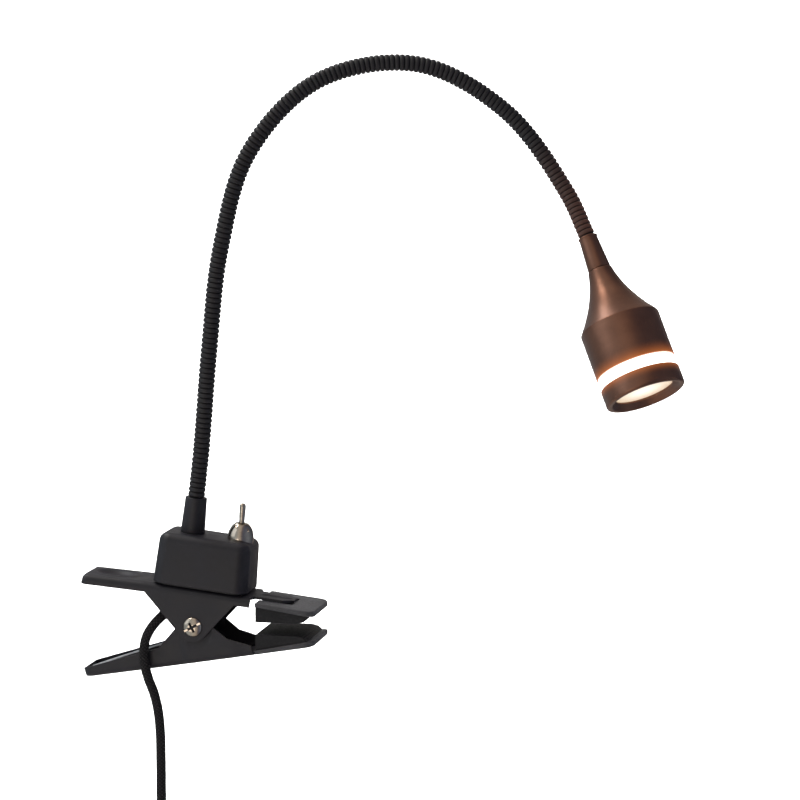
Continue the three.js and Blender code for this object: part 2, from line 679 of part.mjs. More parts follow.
// The torsion spring: a coil round the spacer, one leg along the inside of each handle.
function clampSpring() {
  const y0 = (-COIL_TURNS * COIL_PITCH) / 2;
  const lift = GAP + WIRE_RADIUS;
  const legEnd = plateUnder - lift;
  const droopDrop = (LEG_REACH - HANDLE_FOLD) * Math.tan(HANDLE_DROOP * DEG);
  const local = (matrix, x, y, z) => new THREE.Vector3(x, y, z).applyMatrix4(matrix);
  const toClip = clip.matrix.clone().invert();
  const inClip = (point) => point.applyMatrix4(toClip);
  const lowerLeg = [
    [LEG_REACH, legEnd],
    [LEG_REACH * 0.62, legEnd - 1.6],
    [LEG_REACH * 0.3, legEnd * 0.62],
  ];
  const points = lowerLeg.map(([x, z]) => inClip(local(lower.matrix, -x, y0, -z)));
  const steps = COIL_TURNS * 8;
  for (let i = 0; i <= steps; i += 1) {
    const angle = -Math.PI / 2 + (i * Math.PI) / 4;
    const y = y0 + (COIL_PITCH * i) / 8;
    points.push(new THREE.Vector3(COIL_RADIUS * Math.cos(angle), y, COIL_RADIUS * Math.sin(angle)));
  }
  const upperEnd = legEnd - droopDrop;
  const upperLeg = [
    [LEG_REACH * 0.3, legEnd * 0.58],
    [LEG_REACH * 0.62, upperEnd - 1.8],
    [LEG_REACH, upperEnd],
  ];
  points.push(...upperLeg.map(([x, z]) => new THREE.Vector3(-x, -y0, z)));
  return alongCurve(new THREE.CatmullRomCurve3(points), WIRE_RADIUS, 6, 100);
}
place(clip, "clamp_spring", solid(clampSpring()), steel);

// ---------------------------------------------------------------- collar
const collarFoot = housingTop + GAP;
const collarTop = collarFoot + COLLAR_HEIGHT;
const collarProfile = [
  [LEAD_BORE, collarFoot - STUD_LENGTH],
  [STUD_RADIUS, collarFoot - STUD_LENGTH],
  [STUD_RADIUS, collarFoot],
  [COLLAR_BASE_RADIUS, collarFoot],
  [COLLAR_TOP_RADIUS, collarTop - COLLAR_BEVEL],
  [COLLAR_TOP_RADIUS - COLLAR_BEVEL, collarTop],
  [LEAD_BORE, collarTop],
];
const collar = turnedRing(collarProfile, 24);
place(clip, "neck_collar", solid(collar), blackPaint).position.x = COLLAR_AT;
const collarNutTop = ceiling - GAP;
const collarNutFoot = collarNutTop - COLLAR_NUT_HEIGHT;
const collarNut = hexagon(COLLAR_NUT_ACROSS, collarNutFoot, collarNutTop, STUD_RADIUS + GAP);
place(clip, "collar_nut", collarNut, steel).position.x = COLLAR_AT;

// ---------------------------------------------------------------- toggle switch
const toggle = new THREE.Group();
toggle.position.set(TOGGLE_AT, 0, housingTop);
clip.add(toggle);
const bushingFoot = -HOUSING_WALL - GAP;
const bushingTop = 6.4;
const TOGGLE_PIVOT = 5; // above the housing
const TOGGLE_BALL = 2;
const bodyTop = bushingFoot - GAP;

const bushing = [
  [BUSHING_BORE, bushingFoot],
  [BUSHING_RADIUS, bushingFoot],
  [BUSHING_RADIUS, bushingTop],
  [BUSHING_BORE, bushingTop],
];
place(toggle, "switch_bushing", solid(turnedRing(bushing, 20)), nickel);

const domeFoot = GAP;
const domeTop = domeFoot + DOME_HEIGHT;
const DOME_SKIRT = 1.8; // straight part of the dome nut
const domeCurve = Array.from({ length: 6 }, (_, i) => {
  const lift = (i / 5) * 62 * DEG;
  const rise = (DOME_HEIGHT - DOME_SKIRT) / Math.sin(62 * DEG);
  return [DOME_RADIUS * Math.cos(lift), domeFoot + DOME_SKIRT + rise * Math.sin(lift)];
});
const dome = [
  [BUSHING_RADIUS + GAP, domeFoot],
  [DOME_RADIUS - 0.3, domeFoot],
  [DOME_RADIUS, domeFoot + 0.5],
  ...domeCurve,
  [DOME_HOLE, domeTop],
  [DOME_HOLE, bushingTop + GAP + 0.5],
  [BUSHING_RADIUS + GAP, bushingTop + GAP],
];
const domeNotch = solid(block(-0.8, 0.8, -DOME_RADIUS - 1, -DOME_RADIUS + 1.2, 0, domeFoot + 1.1));
place(toggle, "switch_dome_nut", cut(solid(turnedRing(dome, 24)), domeNotch), nickel);

const halfLength = SWITCH_LENGTH / 2;
const halfDepth = SWITCH_DEPTH / 2;
const switchBody = block(
  -halfLength, halfLength, -halfDepth, halfDepth, bodyTop - SWITCH_HEIGHT, bodyTop,
);
place(toggle, "switch_body", solid(switchBody.translate(SWITCH_OFFSET, 0, 0)), leadRed);
const terminalTop = bodyTop - SWITCH_HEIGHT - GAP;
const terminalPlaces = [SWITCH_OFFSET - 2.5, SWITCH_OFFSET + 2.5];
terminalPlaces.forEach((x, i) => {
  const pin = block(x - 1, x + 1, -0.4, 0.4, terminalTop - TERMINAL_LENGTH, terminalTop);
  place(toggle, `switch_terminal_${i + 1}`, solid(pin), brass);
});

// The lever swings in its ball, front to back.
const toggleTip = domeTop + TOGGLE_LENGTH - TOGGLE_PIVOT;
const ball = Array.from({ length: 7 }, (_, i) => {
  const lift = (-60 + i * 18.5) * DEG;
  return [TOGGLE_BALL * Math.cos(lift), TOGGLE_BALL * Math.sin(lift)];
});
const toggleProfile = [
  [0, -3.4],
  [0.9, -3.2],
  [1, -1.9],
  ...ball,
  [TOGGLE_NECK_RADIUS, 2.4],
  [TOGGLE_TIP_RADIUS, toggleTip - 1.6],
  [TOGGLE_TIP_RADIUS * 0.85, toggleTip - 0.6],
  [TOGGLE_TIP_RADIUS * 0.45, toggleTip - 0.1],
  [0, toggleTip],
];
const toggleLever = place(toggle, "toggle_lever", solid(turned(toggleProfile, 14)), nickel);
toggleLever.position.z = TOGGLE_PIVOT;
toggleLever.rotation.x = TOGGLE_LEAN * DEG;

// ---------------------------------------------------------------- inside the housing
const BOARD_FOOT = 2.2; // driver board above the base plate
const boardZ = housingFoot + BOARD_FOOT;
const driverBoard = block(-10, 7.5, 0.5, 10, boardZ, boardZ + 1.2);
const inductor = rod(3, boardZ + 1, boardZ + 5, 16).translate(1, 5.5, 0);
const chip = block(-7.5, -3.5, 3.5, 7.5, boardZ + 1, boardZ + 2.4);
place(clip, "driver_board", joined(solid(driverBoard), solid(inductor), solid(chip)), boardGreen);

const grommetTop = plateUnder - GAP;
const grommetStem = housingFoot + 1.6;
const supplyBore = LEAD_RADIUS + GAP + 0.1;
const grommetProfile = [
  [supplyBore, grommetTop - GROMMET_LENGTH],
  [GROMMET_END_RADIUS, grommetTop - GROMMET_LENGTH],
  [GROMMET_RADIUS, grommetTop - 1],
  [GROMMET_RADIUS, grommetTop],
  [CORD_RADIUS, grommetTop],
  [CORD_RADIUS, grommetStem],
  [supplyBore, grommetStem],
];
const grommet = place(clip, "cord_grommet", solid(turnedRing(grommetProfile, 16)), hardBlack);
grommet.position.set(...GROMMET_AT, 0);

const lead = (points) => solid(alongCurve(smooth(points), LEAD_RADIUS, 6, 12));
const pinEnd = housingTop + terminalTop - TERMINAL_LENGTH - GAP - LEAD_RADIUS;
const pinX = terminalPlaces.map((x) => TOGGLE_AT + x);
const supplyLead = lead([
  [...GROMMET_AT, grommetTop - GROMMET_LENGTH + 1],
  [...GROMMET_AT, grommetStem + 1.5],
  [GROMMET_AT[0] + 0.6, GROMMET_AT[1], grommetStem + 3],
  [-7, -5.6, grommetStem + 5.6],
  [0, -2.2, grommetStem + 5],
  [pinX[0] - 1.4, 0, pinEnd - 0.6],
]);
place(clip, "supply_lead", supplyLead, leadRed);
const LEAD_DIP = 0.37; // of the room between the switch's pins and the base
const dipped = pinEnd - LEAD_DIP * (pinEnd - housingFoot);
const switchLead = lead([
  [pinX[1] + 0.4, 0, pinEnd],
  [pinX[1] + 0.4, 4, dipped],
  [11, 6.6, pinEnd - 0.6],
  [6.4, 7.6, boardZ + 5],
  [5.6, 8, boardZ + 1.2 + GAP + LEAD_RADIUS],
]);
place(clip, "switch_lead", switchLead, leadRed);
const studFoot = collarFoot - STUD_LENGTH;
const lampLead = lead([
  [-8.4, 9, boardZ + 1.2 + GAP + LEAD_RADIUS],
  [-9.4, 8.4, boardZ + 6],
  [COLLAR_AT - 1.6, 4, studFoot - 5],
  [COLLAR_AT, 0.4, studFoot - 1.5],
  [COLLAR_AT, 0, collarTop - 1],
]);
place(clip, "lamp_lead", lampLead, hardBlack);

// ---------------------------------------------------------------- gooseneck
function direction(lean, heading) {
  return new THREE.Vector3(
    Math.sin(lean * DEG) * Math.cos(heading * DEG),
    Math.sin(lean * DEG) * Math.sin(heading * DEG),
    Math.cos(lean * DEG),
  );
}

const neckFoot = new THREE.Vector3(COLLAR_AT, 0, collarTop + GAP).applyMatrix4(clip.matrix);
const neckPoints = [neckFoot];
NECK_LEAN.forEach((lean, i) => {
  const atEnd = i === 0 || i === NECK_LEAN.length - 1;
  const step = direction(lean, NECK_HEADING[i]).multiplyScalar(atEnd ? NECK_CHORD / 2 : NECK_CHORD);
  neckPoints.push(neckPoints[i].clone().add(step));
});
const neckCurve = new THREE.CatmullRomCurve3(neckPoints);

class Stretch extends THREE.Curve {
  constructor(curve, from, to) {
    super();
    Object.assign(this, { curve, from, to });
  }

  getPoint(t, target = new THREE.Vector3()) {
    return this.curve.getPoint(this.from + (this.to - this.from) * t, target);
  }
}

const spans = neckPoints.length - 1;
for (let i = 0; i < spans; i += 1) {
  const chord = neckPoints[i].distanceTo(neckPoints[i + 1]);
  const trim = NECK_GAP / 2 / chord;
  const from = i === 0 ? 0 : i + trim;
  const to = i === spans - 1 ? spans : i + 1 - trim;
  const stretch = new Stretch(neckCurve, from / spans, to / spans);
  const steps = i === 0 || i === spans - 1 ? 3 : 6;
  const link = alongCurve(stretch, NECK_RADIUS, NECK_SIDES, steps);
  place(lamp, `neck_link_${i + 1}`, solid(link), neckBlack);
}

// ---------------------------------------------------------------- lamp head
const head = new THREE.Group();
const headAxis = direction(HEAD_LEAN, HEAD_HEADING);
head.quaternion.setFromUnitVectors(Z, headAxis);
head.position.copy(neckPoints[spans]).addScaledVector(headAxis, SLEEVE_CLEARANCE);
lamp.add(head);

const spigotEnd = SLEEVE_LENGTH + SLEEVE_SPIGOT_LENGTH;
const sleeve = [
  [LEAD_BORE, 0],
  [SLEEVE_TOP_RADIUS - 0.4, 0],
  [SLEEVE_TOP_RADIUS, 0.5],
  [SLEEVE_END_RADIUS, SLEEVE_LENGTH - 0.4],
  [SLEEVE_END_RADIUS - 0.3, SLEEVE_LENGTH],
  [SLEEVE_SPIGOT_RADIUS, SLEEVE_LENGTH],
  [SLEEVE_SPIGOT_RADIUS, spigotEnd],
  [LEAD_BORE, spigotEnd],
];
place(head, "head_sleeve", solid(turnedRing(sleeve, 24)), bronze);

const flareFoot = SLEEVE_LENGTH + GAP;
const flareEnd = flareFoot + FLARE_LENGTH;
const shellEnd = flareEnd + BARREL_LENGTH;
const flareGain = HEAD_RADIUS - FLARE_TOP_RADIUS - FLARE_START_SLOPE * FLARE_LENGTH;
const flareRadius = (t) =>
  FLARE_TOP_RADIUS + FLARE_START_SLOPE * t + flareGain * (t / FLARE_LENGTH) ** 2;
const FLARE_STEPS = 7;
const NUT_SEAT = 4.4; // shoulder for the sleeve nut, below the shell's small end
const flareOut = Array.from({ length: FLARE_STEPS + 1 }, (_, i) => {
  const t = (FLARE_LENGTH * i) / FLARE_STEPS;
  return [flareRadius(t), flareFoot + t];
});
const flareIn = Array.from({ length: FLARE_STEPS }, (_, i) => {
  const t = NUT_SEAT + ((FLARE_LENGTH - NUT_SEAT) * i) / (FLARE_STEPS - 1);
  return [flareRadius(t) - SHELL_WALL, flareFoot + t];
});
const shellBore = SLEEVE_SPIGOT_RADIUS + GAP;
const shellProfile = [
  [shellBore, flareFoot],
  ...flareOut,
  [HEAD_RADIUS, shellEnd],
  [HEAD_RADIUS - SHELL_WALL, shellEnd],
  ...flareIn.reverse(),
  [shellBore, flareFoot + NUT_SEAT],
];
place(head, "head_shell", solid(turnedRing(shellProfile, 32)), bronze);

const sleeveNutFoot = flareFoot + NUT_SEAT + GAP;
place(head, "sleeve_nut", hexagon(8.2, sleeveNutFoot, sleeveNutFoot + 2.2, shellBore), brass);

// Heat sink, board and LED stand on each other; the board's screws go into the sink.
const sinkFoot = flareEnd + 2.2;
const sinkTop = sinkFoot + SINK_HEIGHT;
const sinkOuter = HEAD_RADIUS - SHELL_WALL - GAP;
const finOutline = Array.from({ length: SINK_FINS * 4 }, (_, i) => {
  const turn = (2 * Math.PI * (i + 0.5)) / (SINK_FINS * 4);
  const radius = i % 4 < 2 ? sinkOuter : SINK_CORE_RADIUS;
  return [radius * Math.cos(turn), radius * Math.sin(turn)];
});
const SCREW_CIRCLE = 9;
const LEAD_CIRCLE = 5;
const BOARD_SCREW_RADIUS = 1.1;
const boardScrewHole = BOARD_SCREW_RADIUS + GAP;
const through = (radius, x, y) => solid(rod(radius, 0, 90, 12).translate(x, y, 0));
const screwSpots = [[0, SCREW_CIRCLE], [0, -SCREW_CIRCLE]];
const leadSpots = [[LEAD_CIRCLE, 0], [-LEAD_CIRCLE, 0]];
const sink = solid(extruded(outline(finOutline), SINK_HEIGHT).translate(0, 0, sinkFoot));
const sinkHoles = [
  ...screwSpots.map(([x, y]) => through(boardScrewHole, x, y)),
  ...leadSpots.map(([x, y]) => through(LEAD_RADIUS + GAP, x, y)),
];
place(head, "heat_sink", cut(sink, ...sinkHoles), aluminium);

const boardFoot = sinkTop + GAP;
const boardTop = boardFoot + BOARD_THICKNESS;
const board = solid(rod(HEAD_RADIUS - SHELL_WALL - 2, boardFoot, boardTop, 24));
const boardHoles = screwSpots.map(([x, y]) => through(boardScrewHole, x, y));
place(head, "led_board", cut(board, ...boardHoles), boardWhite);

const emitter = [
  [0, boardTop + GAP],
  [EMITTER_RADIUS, boardTop + GAP],
  [EMITTER_RADIUS, boardTop + 1],
  [EMITTER_RADIUS * 0.62, boardTop + 1.1],
  [EMITTER_RADIUS * 0.45, boardTop + 1.8],
  [0, boardTop + 2.1],
];
place(head, "led_emitter", solid(turned(emitter, 16)), acrylic);

screwSpots.forEach(([x, y], i) => {
  const seat = boardTop + GAP;
  const screw = [
    [0, boardFoot - 5],
    [BOARD_SCREW_RADIUS, boardFoot - 4.6],
    [BOARD_SCREW_RADIUS, seat],
    [2.1, seat],
    [2, seat + 0.9],
    [0, seat + 1.3],
  ];
  place(head, `board_screw_${i + 1}`, solid(turned(screw, 16)), steel).position.set(x, y, 0);
});

leadSpots.forEach(([x], i) => {
  const side = Math.sign(x) * 1.2;
  const points = [
    [side, 0, 1.5], [side, 0, 12], [side, 0, spigotEnd + 2], [x * 0.7, 0, sinkFoot - 6],
    [x, 0, sinkFoot - 1], [x, 0, boardFoot - GAP],
  ];
  const wire = alongCurve(smooth(points), LEAD_RADIUS, 6, 10);
  place(head, `head_lead_${i + 1}`, solid(wire), i ? hardBlack : leadRed);
});

const ringFoot = shellEnd + GAP;
const ringTop = ringFoot + RING_LENGTH;
const ringOuter = HEAD_RADIUS - RING_INSET;
const lightRing = [
  [ringOuter - RING_WALL, ringFoot],
  [ringOuter, ringFoot],
  [ringOuter, ringTop],
  [ringOuter - RING_WALL, ringTop],
];
place(head, "light_ring", solid(turnedRing(lightRing, 32)), acrylic);

const lensRadius = HEAD_RADIUS - BEZEL_WALL - GAP;
const lipRadius = lensRadius - LENS_LIP;
const bezelFoot = ringTop + GAP;
const bezelEnd = bezelFoot + BEZEL_LENGTH;
const lensTop = bezelEnd - LENS_DEPTH;
const lensFoot = lensTop - LENS_THICKNESS;
const lensSeat = lensTop + GAP;
const bezel = [
  [lensRadius + GAP, bezelFoot],
  [HEAD_RADIUS, bezelFoot],
  [HEAD_RADIUS, bezelEnd - BEZEL_ROUND],
  ...arc(HEAD_RADIUS - BEZEL_ROUND, bezelEnd - BEZEL_ROUND, BEZEL_ROUND, 25, 90, 3),
  [HEAD_RADIUS - BEZEL_RIM, bezelEnd],
  [lipRadius, lensSeat + 0.6],
  [lipRadius, lensSeat],
  [lensRadius + GAP, lensSeat],
];
place(head, "front_bezel", solid(turnedRing(bezel, 32)), bronze);
place(head, "lens", solid(rod(lensRadius, lensFoot, lensTop, 32)), acrylic);

const reflectorFoot = boardTop + 2.1 + GAP;
const reflectorTop = lensFoot - GAP;
const reflectorIn = lensRadius - REFLECTOR_WALL - 0.4;
const reflector = [
  [EMITTER_RADIUS, reflectorFoot],
  [EMITTER_RADIUS + REFLECTOR_WALL, reflectorFoot],
  [reflectorIn + REFLECTOR_WALL, reflectorTop],
  [reflectorIn, reflectorTop],
];
place(head, "reflector", solid(turnedRing(reflector, 24)), boardWhite);

// ---------------------------------------------------------------- cord, hank and plug
const grommetEnd = new THREE.Vector3(...GROMMET_AT, grommetTop - GROMMET_LENGTH - GAP);
grommetEnd.applyMatrix4(clip.matrix);
const [dropX, dropY] = CORD_ROUTE[CORD_ROUTE.length - 1];
const turnRadius = HANK_FOLD_RADIUS + (HANK_LAYERS - 1) * 2 * CORD_RADIUS;
const hankRadius = turnRadius + CORD_RADIUS + 0.2;
const hankThick = HANK_ROWS * 2 * CORD_RADIUS + 0.4;
const hankX = dropX + turnRadius;
const hankY = dropY + ((HANK_ROWS - 1) * 2 * CORD_RADIUS) / 2;
const hankZ = HANK_TOP - hankRadius - HANK_RUN / 2;
const meeting = Math.sqrt(hankRadius ** 2 - (turnRadius - CORD_RADIUS) ** 2) + HANK_RUN / 2 + GAP;
const dropEnd = [dropX, dropY, hankZ + meeting];
const route = [grommetEnd.toArray(), ...CORD_ROUTE, dropEnd];
place(lamp, "power_cord", solid(alongCurve(smooth(route), CORD_RADIUS, CORD_SIDES, 32)), cordBlack);

const hankShape = outline([
  ...arc(0, HANK_RUN / 2, hankRadius, 0, 180, 12),
  ...arc(0, -HANK_RUN / 2, hankRadius, 180, 360, 12),
]);
const hank = sidePlate(hankShape, -hankThick / 2, hankThick / 2);
place(lamp, "cord_hank", solid(hank), cordBlack).position.set(hankX, hankY, hankZ);

const tieOuter = roundedRectangle(
  2 * (hankRadius + GAP + TIE_WALL), hankThick + 2 * (GAP + TIE_WALL), GAP + TIE_WALL,
);
const tieInner = roundedRectangle(2 * (hankRadius + GAP), hankThick + 2 * GAP, GAP);
const tie = cut(
  solid(extruded(tieOuter, TIE_WIDTH)),
  solid(extruded(tieInner, TIE_WIDTH + 2).translate(0, 0, -1)),
);
place(lamp, "hank_tie", tie, softBlack).position.set(hankX, hankY, hankZ - TIE_WIDTH / 2);

// The tail leaves the outer turn of the last row, on the same side, and hangs down to the plug.
const tailX = hankX - turnRadius;
const tailY = hankY + ((HANK_ROWS - 1) * 2 * CORD_RADIUS) / 2;
const tailTop = hankZ - meeting;
const reliefTop = hankZ - HANK_RUN / 2 - hankRadius - TAIL_LENGTH;
const tail = rod(CORD_RADIUS, reliefTop + GAP, tailTop, CORD_SIDES);
place(lamp, "cord_tail", solid(tail), cordBlack).position.set(tailX, tailY, 0);

const plug = new THREE.Group();
plug.position.set(tailX, tailY, reliefTop);
lamp.add(plug);
const reliefProfile = [
  [0, -RELIEF_LENGTH],
  [CORD_RADIUS * 1.9, -RELIEF_LENGTH],
  [CORD_RADIUS * 1.75, -RELIEF_LENGTH + 2],
  [CORD_RADIUS * 1.25, -1],
  [CORD_RADIUS * 1.1, 0],
  [0, 0],
];
place(plug, "plug_strain_relief", solid(turned(reliefProfile, 20)), softBlack);

const plugTop = -RELIEF_LENGTH - GAP;
const plugPlan = roundedRectangle(PLUG_WIDTH - 3, PLUG_DEPTH - 3, PLUG_CORNER - 1.5);
const plugBlock = new THREE.ExtrudeGeometry(plugPlan, {
  depth: PLUG_HEIGHT - 3,
  bevelThickness: 1.5,
  bevelSize: 1.5,
  bevelSegments: 2,
});
plugBlock.translate(0, 0, plugTop - PLUG_HEIGHT + 1.5);
place(plug, "plug_body", solid(plugBlock), hardBlack);
const bladeTop = plugTop - PLUG_HEIGHT - GAP;
[-1, 1].forEach((side, i) => {
  const x = (side * BLADE_SPACING) / 2;
  const half = BLADE_THICKNESS / 2;
  const blade = block(
    x - half, x + half, -BLADE_WIDTH / 2, BLADE_WIDTH / 2, bladeTop - BLADE_LENGTH, bladeTop,
  );
  place(plug, `plug_blade_${i + 1}`, solid(blade), nickel);
});

export default lamp;
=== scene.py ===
# %% [markdown]
# A clip-on reading lamp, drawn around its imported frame.
# The frame holds every mechanical part at its true size and place. The looks come here:
# each visible part is shaped again with soft edges, and each surface gets its finish.
# Lengths are written in millimetres and turned into metres by one helper.

import bisect
import json
import math

import bmesh
import bpy
from mathutils import Matrix, Vector
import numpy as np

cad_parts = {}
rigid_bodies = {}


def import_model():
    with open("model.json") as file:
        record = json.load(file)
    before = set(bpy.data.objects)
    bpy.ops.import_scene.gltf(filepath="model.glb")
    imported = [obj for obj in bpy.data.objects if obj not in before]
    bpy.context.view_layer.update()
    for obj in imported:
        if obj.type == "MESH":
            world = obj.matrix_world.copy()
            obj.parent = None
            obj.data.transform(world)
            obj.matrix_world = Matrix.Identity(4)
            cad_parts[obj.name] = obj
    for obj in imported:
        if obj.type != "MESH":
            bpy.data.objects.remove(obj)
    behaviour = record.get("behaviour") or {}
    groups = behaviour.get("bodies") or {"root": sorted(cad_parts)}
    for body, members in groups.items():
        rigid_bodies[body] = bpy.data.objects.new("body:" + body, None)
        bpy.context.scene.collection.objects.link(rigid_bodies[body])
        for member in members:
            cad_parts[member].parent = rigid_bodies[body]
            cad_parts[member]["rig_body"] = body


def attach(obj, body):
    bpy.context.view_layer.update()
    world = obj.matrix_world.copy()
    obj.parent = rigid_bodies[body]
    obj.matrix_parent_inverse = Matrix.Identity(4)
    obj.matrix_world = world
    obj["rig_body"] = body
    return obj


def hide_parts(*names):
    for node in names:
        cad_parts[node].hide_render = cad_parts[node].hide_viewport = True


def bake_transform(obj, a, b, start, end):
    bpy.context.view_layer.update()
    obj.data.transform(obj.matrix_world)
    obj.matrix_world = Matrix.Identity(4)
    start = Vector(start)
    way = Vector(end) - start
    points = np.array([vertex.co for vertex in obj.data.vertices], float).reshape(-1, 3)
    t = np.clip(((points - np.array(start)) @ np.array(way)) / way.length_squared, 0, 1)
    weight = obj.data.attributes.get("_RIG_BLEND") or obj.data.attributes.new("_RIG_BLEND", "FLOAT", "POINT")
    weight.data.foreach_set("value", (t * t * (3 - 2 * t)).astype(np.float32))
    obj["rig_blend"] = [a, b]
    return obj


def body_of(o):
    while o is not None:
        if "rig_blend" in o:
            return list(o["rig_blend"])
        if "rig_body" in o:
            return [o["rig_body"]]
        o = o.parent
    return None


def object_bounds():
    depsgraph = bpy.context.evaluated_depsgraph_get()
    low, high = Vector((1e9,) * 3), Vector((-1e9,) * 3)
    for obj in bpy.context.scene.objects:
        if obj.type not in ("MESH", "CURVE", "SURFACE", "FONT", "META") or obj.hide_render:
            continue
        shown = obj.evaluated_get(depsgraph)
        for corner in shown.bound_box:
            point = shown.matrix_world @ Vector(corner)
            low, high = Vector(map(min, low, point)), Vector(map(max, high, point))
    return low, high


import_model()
cad_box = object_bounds()
MM = 0.001
X, Y, Z = Vector((1, 0, 0)), Vector((0, 1, 0)), Vector((0, 0, 1))

# %% [markdown]
# The camera stands a little to the right of the lamp's front and a little above it,
# with a long lens, so that the parallel edges of the clip stay nearly parallel.
# A camera looks along its own -Z, so its axes are written down as right, up and back.

# %% Camera
CAMERA_AZIMUTH, CAMERA_ELEVATION = math.radians(11.7), math.radians(7.2)
CAMERA_PLACE = Vector((0.3495, -1.4384, 0.2897))
LENS_LENGTH = 144


def camera_axes(azimuth, elevation):
    right = Vector((math.cos(azimuth), math.sin(azimuth), 0))
    back = Vector((math.sin(azimuth) * math.cos(elevation),
                   -math.cos(azimuth) * math.cos(elevation), math.sin(elevation)))
    return right, back.cross(right), back


camera = bpy.data.objects.new("camera", bpy.data.cameras.new("camera"))
bpy.context.scene.collection.objects.link(camera)
camera.data.lens = LENS_LENGTH
camera_turn = Matrix(camera_axes(CAMERA_AZIMUTH, CAMERA_ELEVATION)).transposed().to_4x4()
camera.matrix_world = Matrix.Translation(CAMERA_PLACE) @ camera_turn
bpy.context.scene.camera = camera
print("camera", [round(v, 3) for v in camera.location])

# %% [markdown]
# Nearly every long part of this lamp is a tube: the cord, the gooseneck, the spring.
# A tube can be a curve with a bevel, but a mesh gives it a pattern that follows its surface.
# So one ring of points is extruded from station to station, and each station carries the
# ring's place, direction and radius. The direction is carried along without twisting.

# %% A tube swept along a path
def stations(path, radii):
    """One 4x4 matrix for each point of the path, carried along it without twisting."""
    path = [Vector(p) for p in path]
    heading = (path[1] - path[0]).normalized()
    turn = Z.rotation_difference(heading).to_matrix()
    out = []
    for i, point in enumerate(path):
        after, before = path[min(i + 1, len(path) - 1)], path[max(i - 1, 0)]
        new = (after - before).normalized()
        turn = heading.rotation_difference(new).to_matrix() @ turn
        heading = new
        scale = Matrix.Diagonal((radii[i], radii[i], 1, 1))
        out.append(Matrix.Translation(point) @ turn.to_4x4() @ scale)
    return out


def run_of(path):
    """The distance run at each point of a path."""
    run = [0.0]
    for a, b in zip(path, path[1:]):
        run.append(run[-1] + (Vector(b) - Vector(a)).length)
    return run


def piece(name, bm, material, smooth=35):
    """The finished mesh as an object at the origin, with its sharp edges marked."""
    mesh = bpy.data.meshes.new(name)
    bm.to_mesh(mesh)
    bm.free()
    mesh.shade_smooth()
    mesh.set_sharp_from_angle(angle=math.radians(smooth))
    mesh.materials.append(material)
    made = bpy.data.objects.new(name, mesh)
    bpy.context.scene.collection.objects.link(made)
    return made


def sweep(path, radii, sides, start_run=0.0):
    """A bmesh tube with a UV map: u once round, v in metres along."""
    bm = bmesh.new()
    places = stations(path, radii)
    around, along = bm.verts.layers.int.new("around"), bm.verts.layers.float.new("run")
    ring = bmesh.ops.create_circle(bm, segments=sides, radius=1, matrix=places[0])["verts"]
    run = [start_run + r for r in run_of(path)]
    for i, vert in enumerate(ring):
        vert[around], vert[along] = i, run[0]
    first = edges = list({edge for vert in ring for edge in vert.link_edges})
    for i in range(1, len(places)):
        grown = bmesh.ops.extrude_edge_only(bm, edges=edges)["geom"]
        verts = [g for g in grown if isinstance(g, bmesh.types.BMVert)]
        edges = [g for g in grown if isinstance(g, bmesh.types.BMEdge)]
        bmesh.ops.transform(bm, matrix=places[i] @ places[i - 1].inverted(), verts=verts)
        for vert in verts:
            vert[along] = run[i]
    bmesh.ops.contextual_create(bm, geom=first)
    bmesh.ops.contextual_create(bm, geom=edges)
    bmesh.ops.recalc_face_normals(bm, faces=bm.faces)
    uv = bm.loops.layers.uv.new("surface")
    for face in bm.faces:
        turns = [loop.vert[around] for loop in face.loops]
        wraps = len(turns) == 4 and max(turns) - min(turns) > 1
        for loop, turn in zip(face.loops, turns):
            turn = sides if wraps and turn == 0 else turn
            loop[uv].uv = (turn / sides, loop.vert[along])
    return bm


# %% [markdown]
# A material is a small graph of nodes. One function adds a node: it takes the settings
# by name, and for each socket either a value or the output of another node.
# Colours are written as the hex values a picture editor shows, and turned to linear light.

# %% Nodes and colours
def linear(code):
    """An sRGB hex value as linear RGBA."""
    parts = [((code >> shift) & 255) / 255 for shift in (16, 8, 0)]
    return [c / 12.92 if c <= 0.04045 else ((c + 0.055) / 1.055) ** 2.4 for c in parts] + [1]


def add(tree, kind, sockets=None, **settings):
    """Adds one node with its settings; a socket's entry is a value or an output to link."""
    made = tree.nodes.new(kind)
    for key, value in settings.items():
        setattr(made, key, value)
    for key, value in (sockets or {}).items():
        if isinstance(value, bpy.types.NodeSocket):
            tree.links.new(value, made.inputs[key])
        else:
            made.inputs[key].default_value = value
    return made


def finish_of(name, **shader):
    """A material with one Principled shader, and the tree to add its nodes to."""
    material = bpy.data.materials.new(name)
    material.use_nodes = True
    tree = material.node_tree
    tree.nodes.clear()
    surface = add(tree, "ShaderNodeBsdfPrincipled",
                  {key.replace("_", " "): value for key, value in shader.items()})
    output = add(tree, "ShaderNodeOutputMaterial")
    tree.links.new(surface.outputs[0], output.inputs["Surface"])
    return material, tree, surface


def drive(tree, surface, **outputs):
    """Links node outputs to the shader's sockets, whose names are written with underscores."""
    for name, output in outputs.items():
        tree.links.new(output, surface.inputs[name.replace("_", " ")])


def sum_of(tree, operation, first, second=0.5):
    """One step of arithmetic on two values or outputs."""
    return add(tree, "ShaderNodeMath", {0: first, 1: second}, operation=operation).outputs[0]


def grain(tree, where, size, detail=3.0, stretch=(1, 1, 1)):
    """Noise whose grains are size metres wide; stretch makes them longer along an axis."""
    scaled = add(tree, "ShaderNodeVectorMath", {0: where, 1: [1 / (size * s) for s in stretch]},
                 operation="MULTIPLY")
    return add(tree, "ShaderNodeTexNoise", {"Vector": scaled.outputs[0], "Scale": 1.0,
                                            "Detail": detail}).outputs["Fac"]


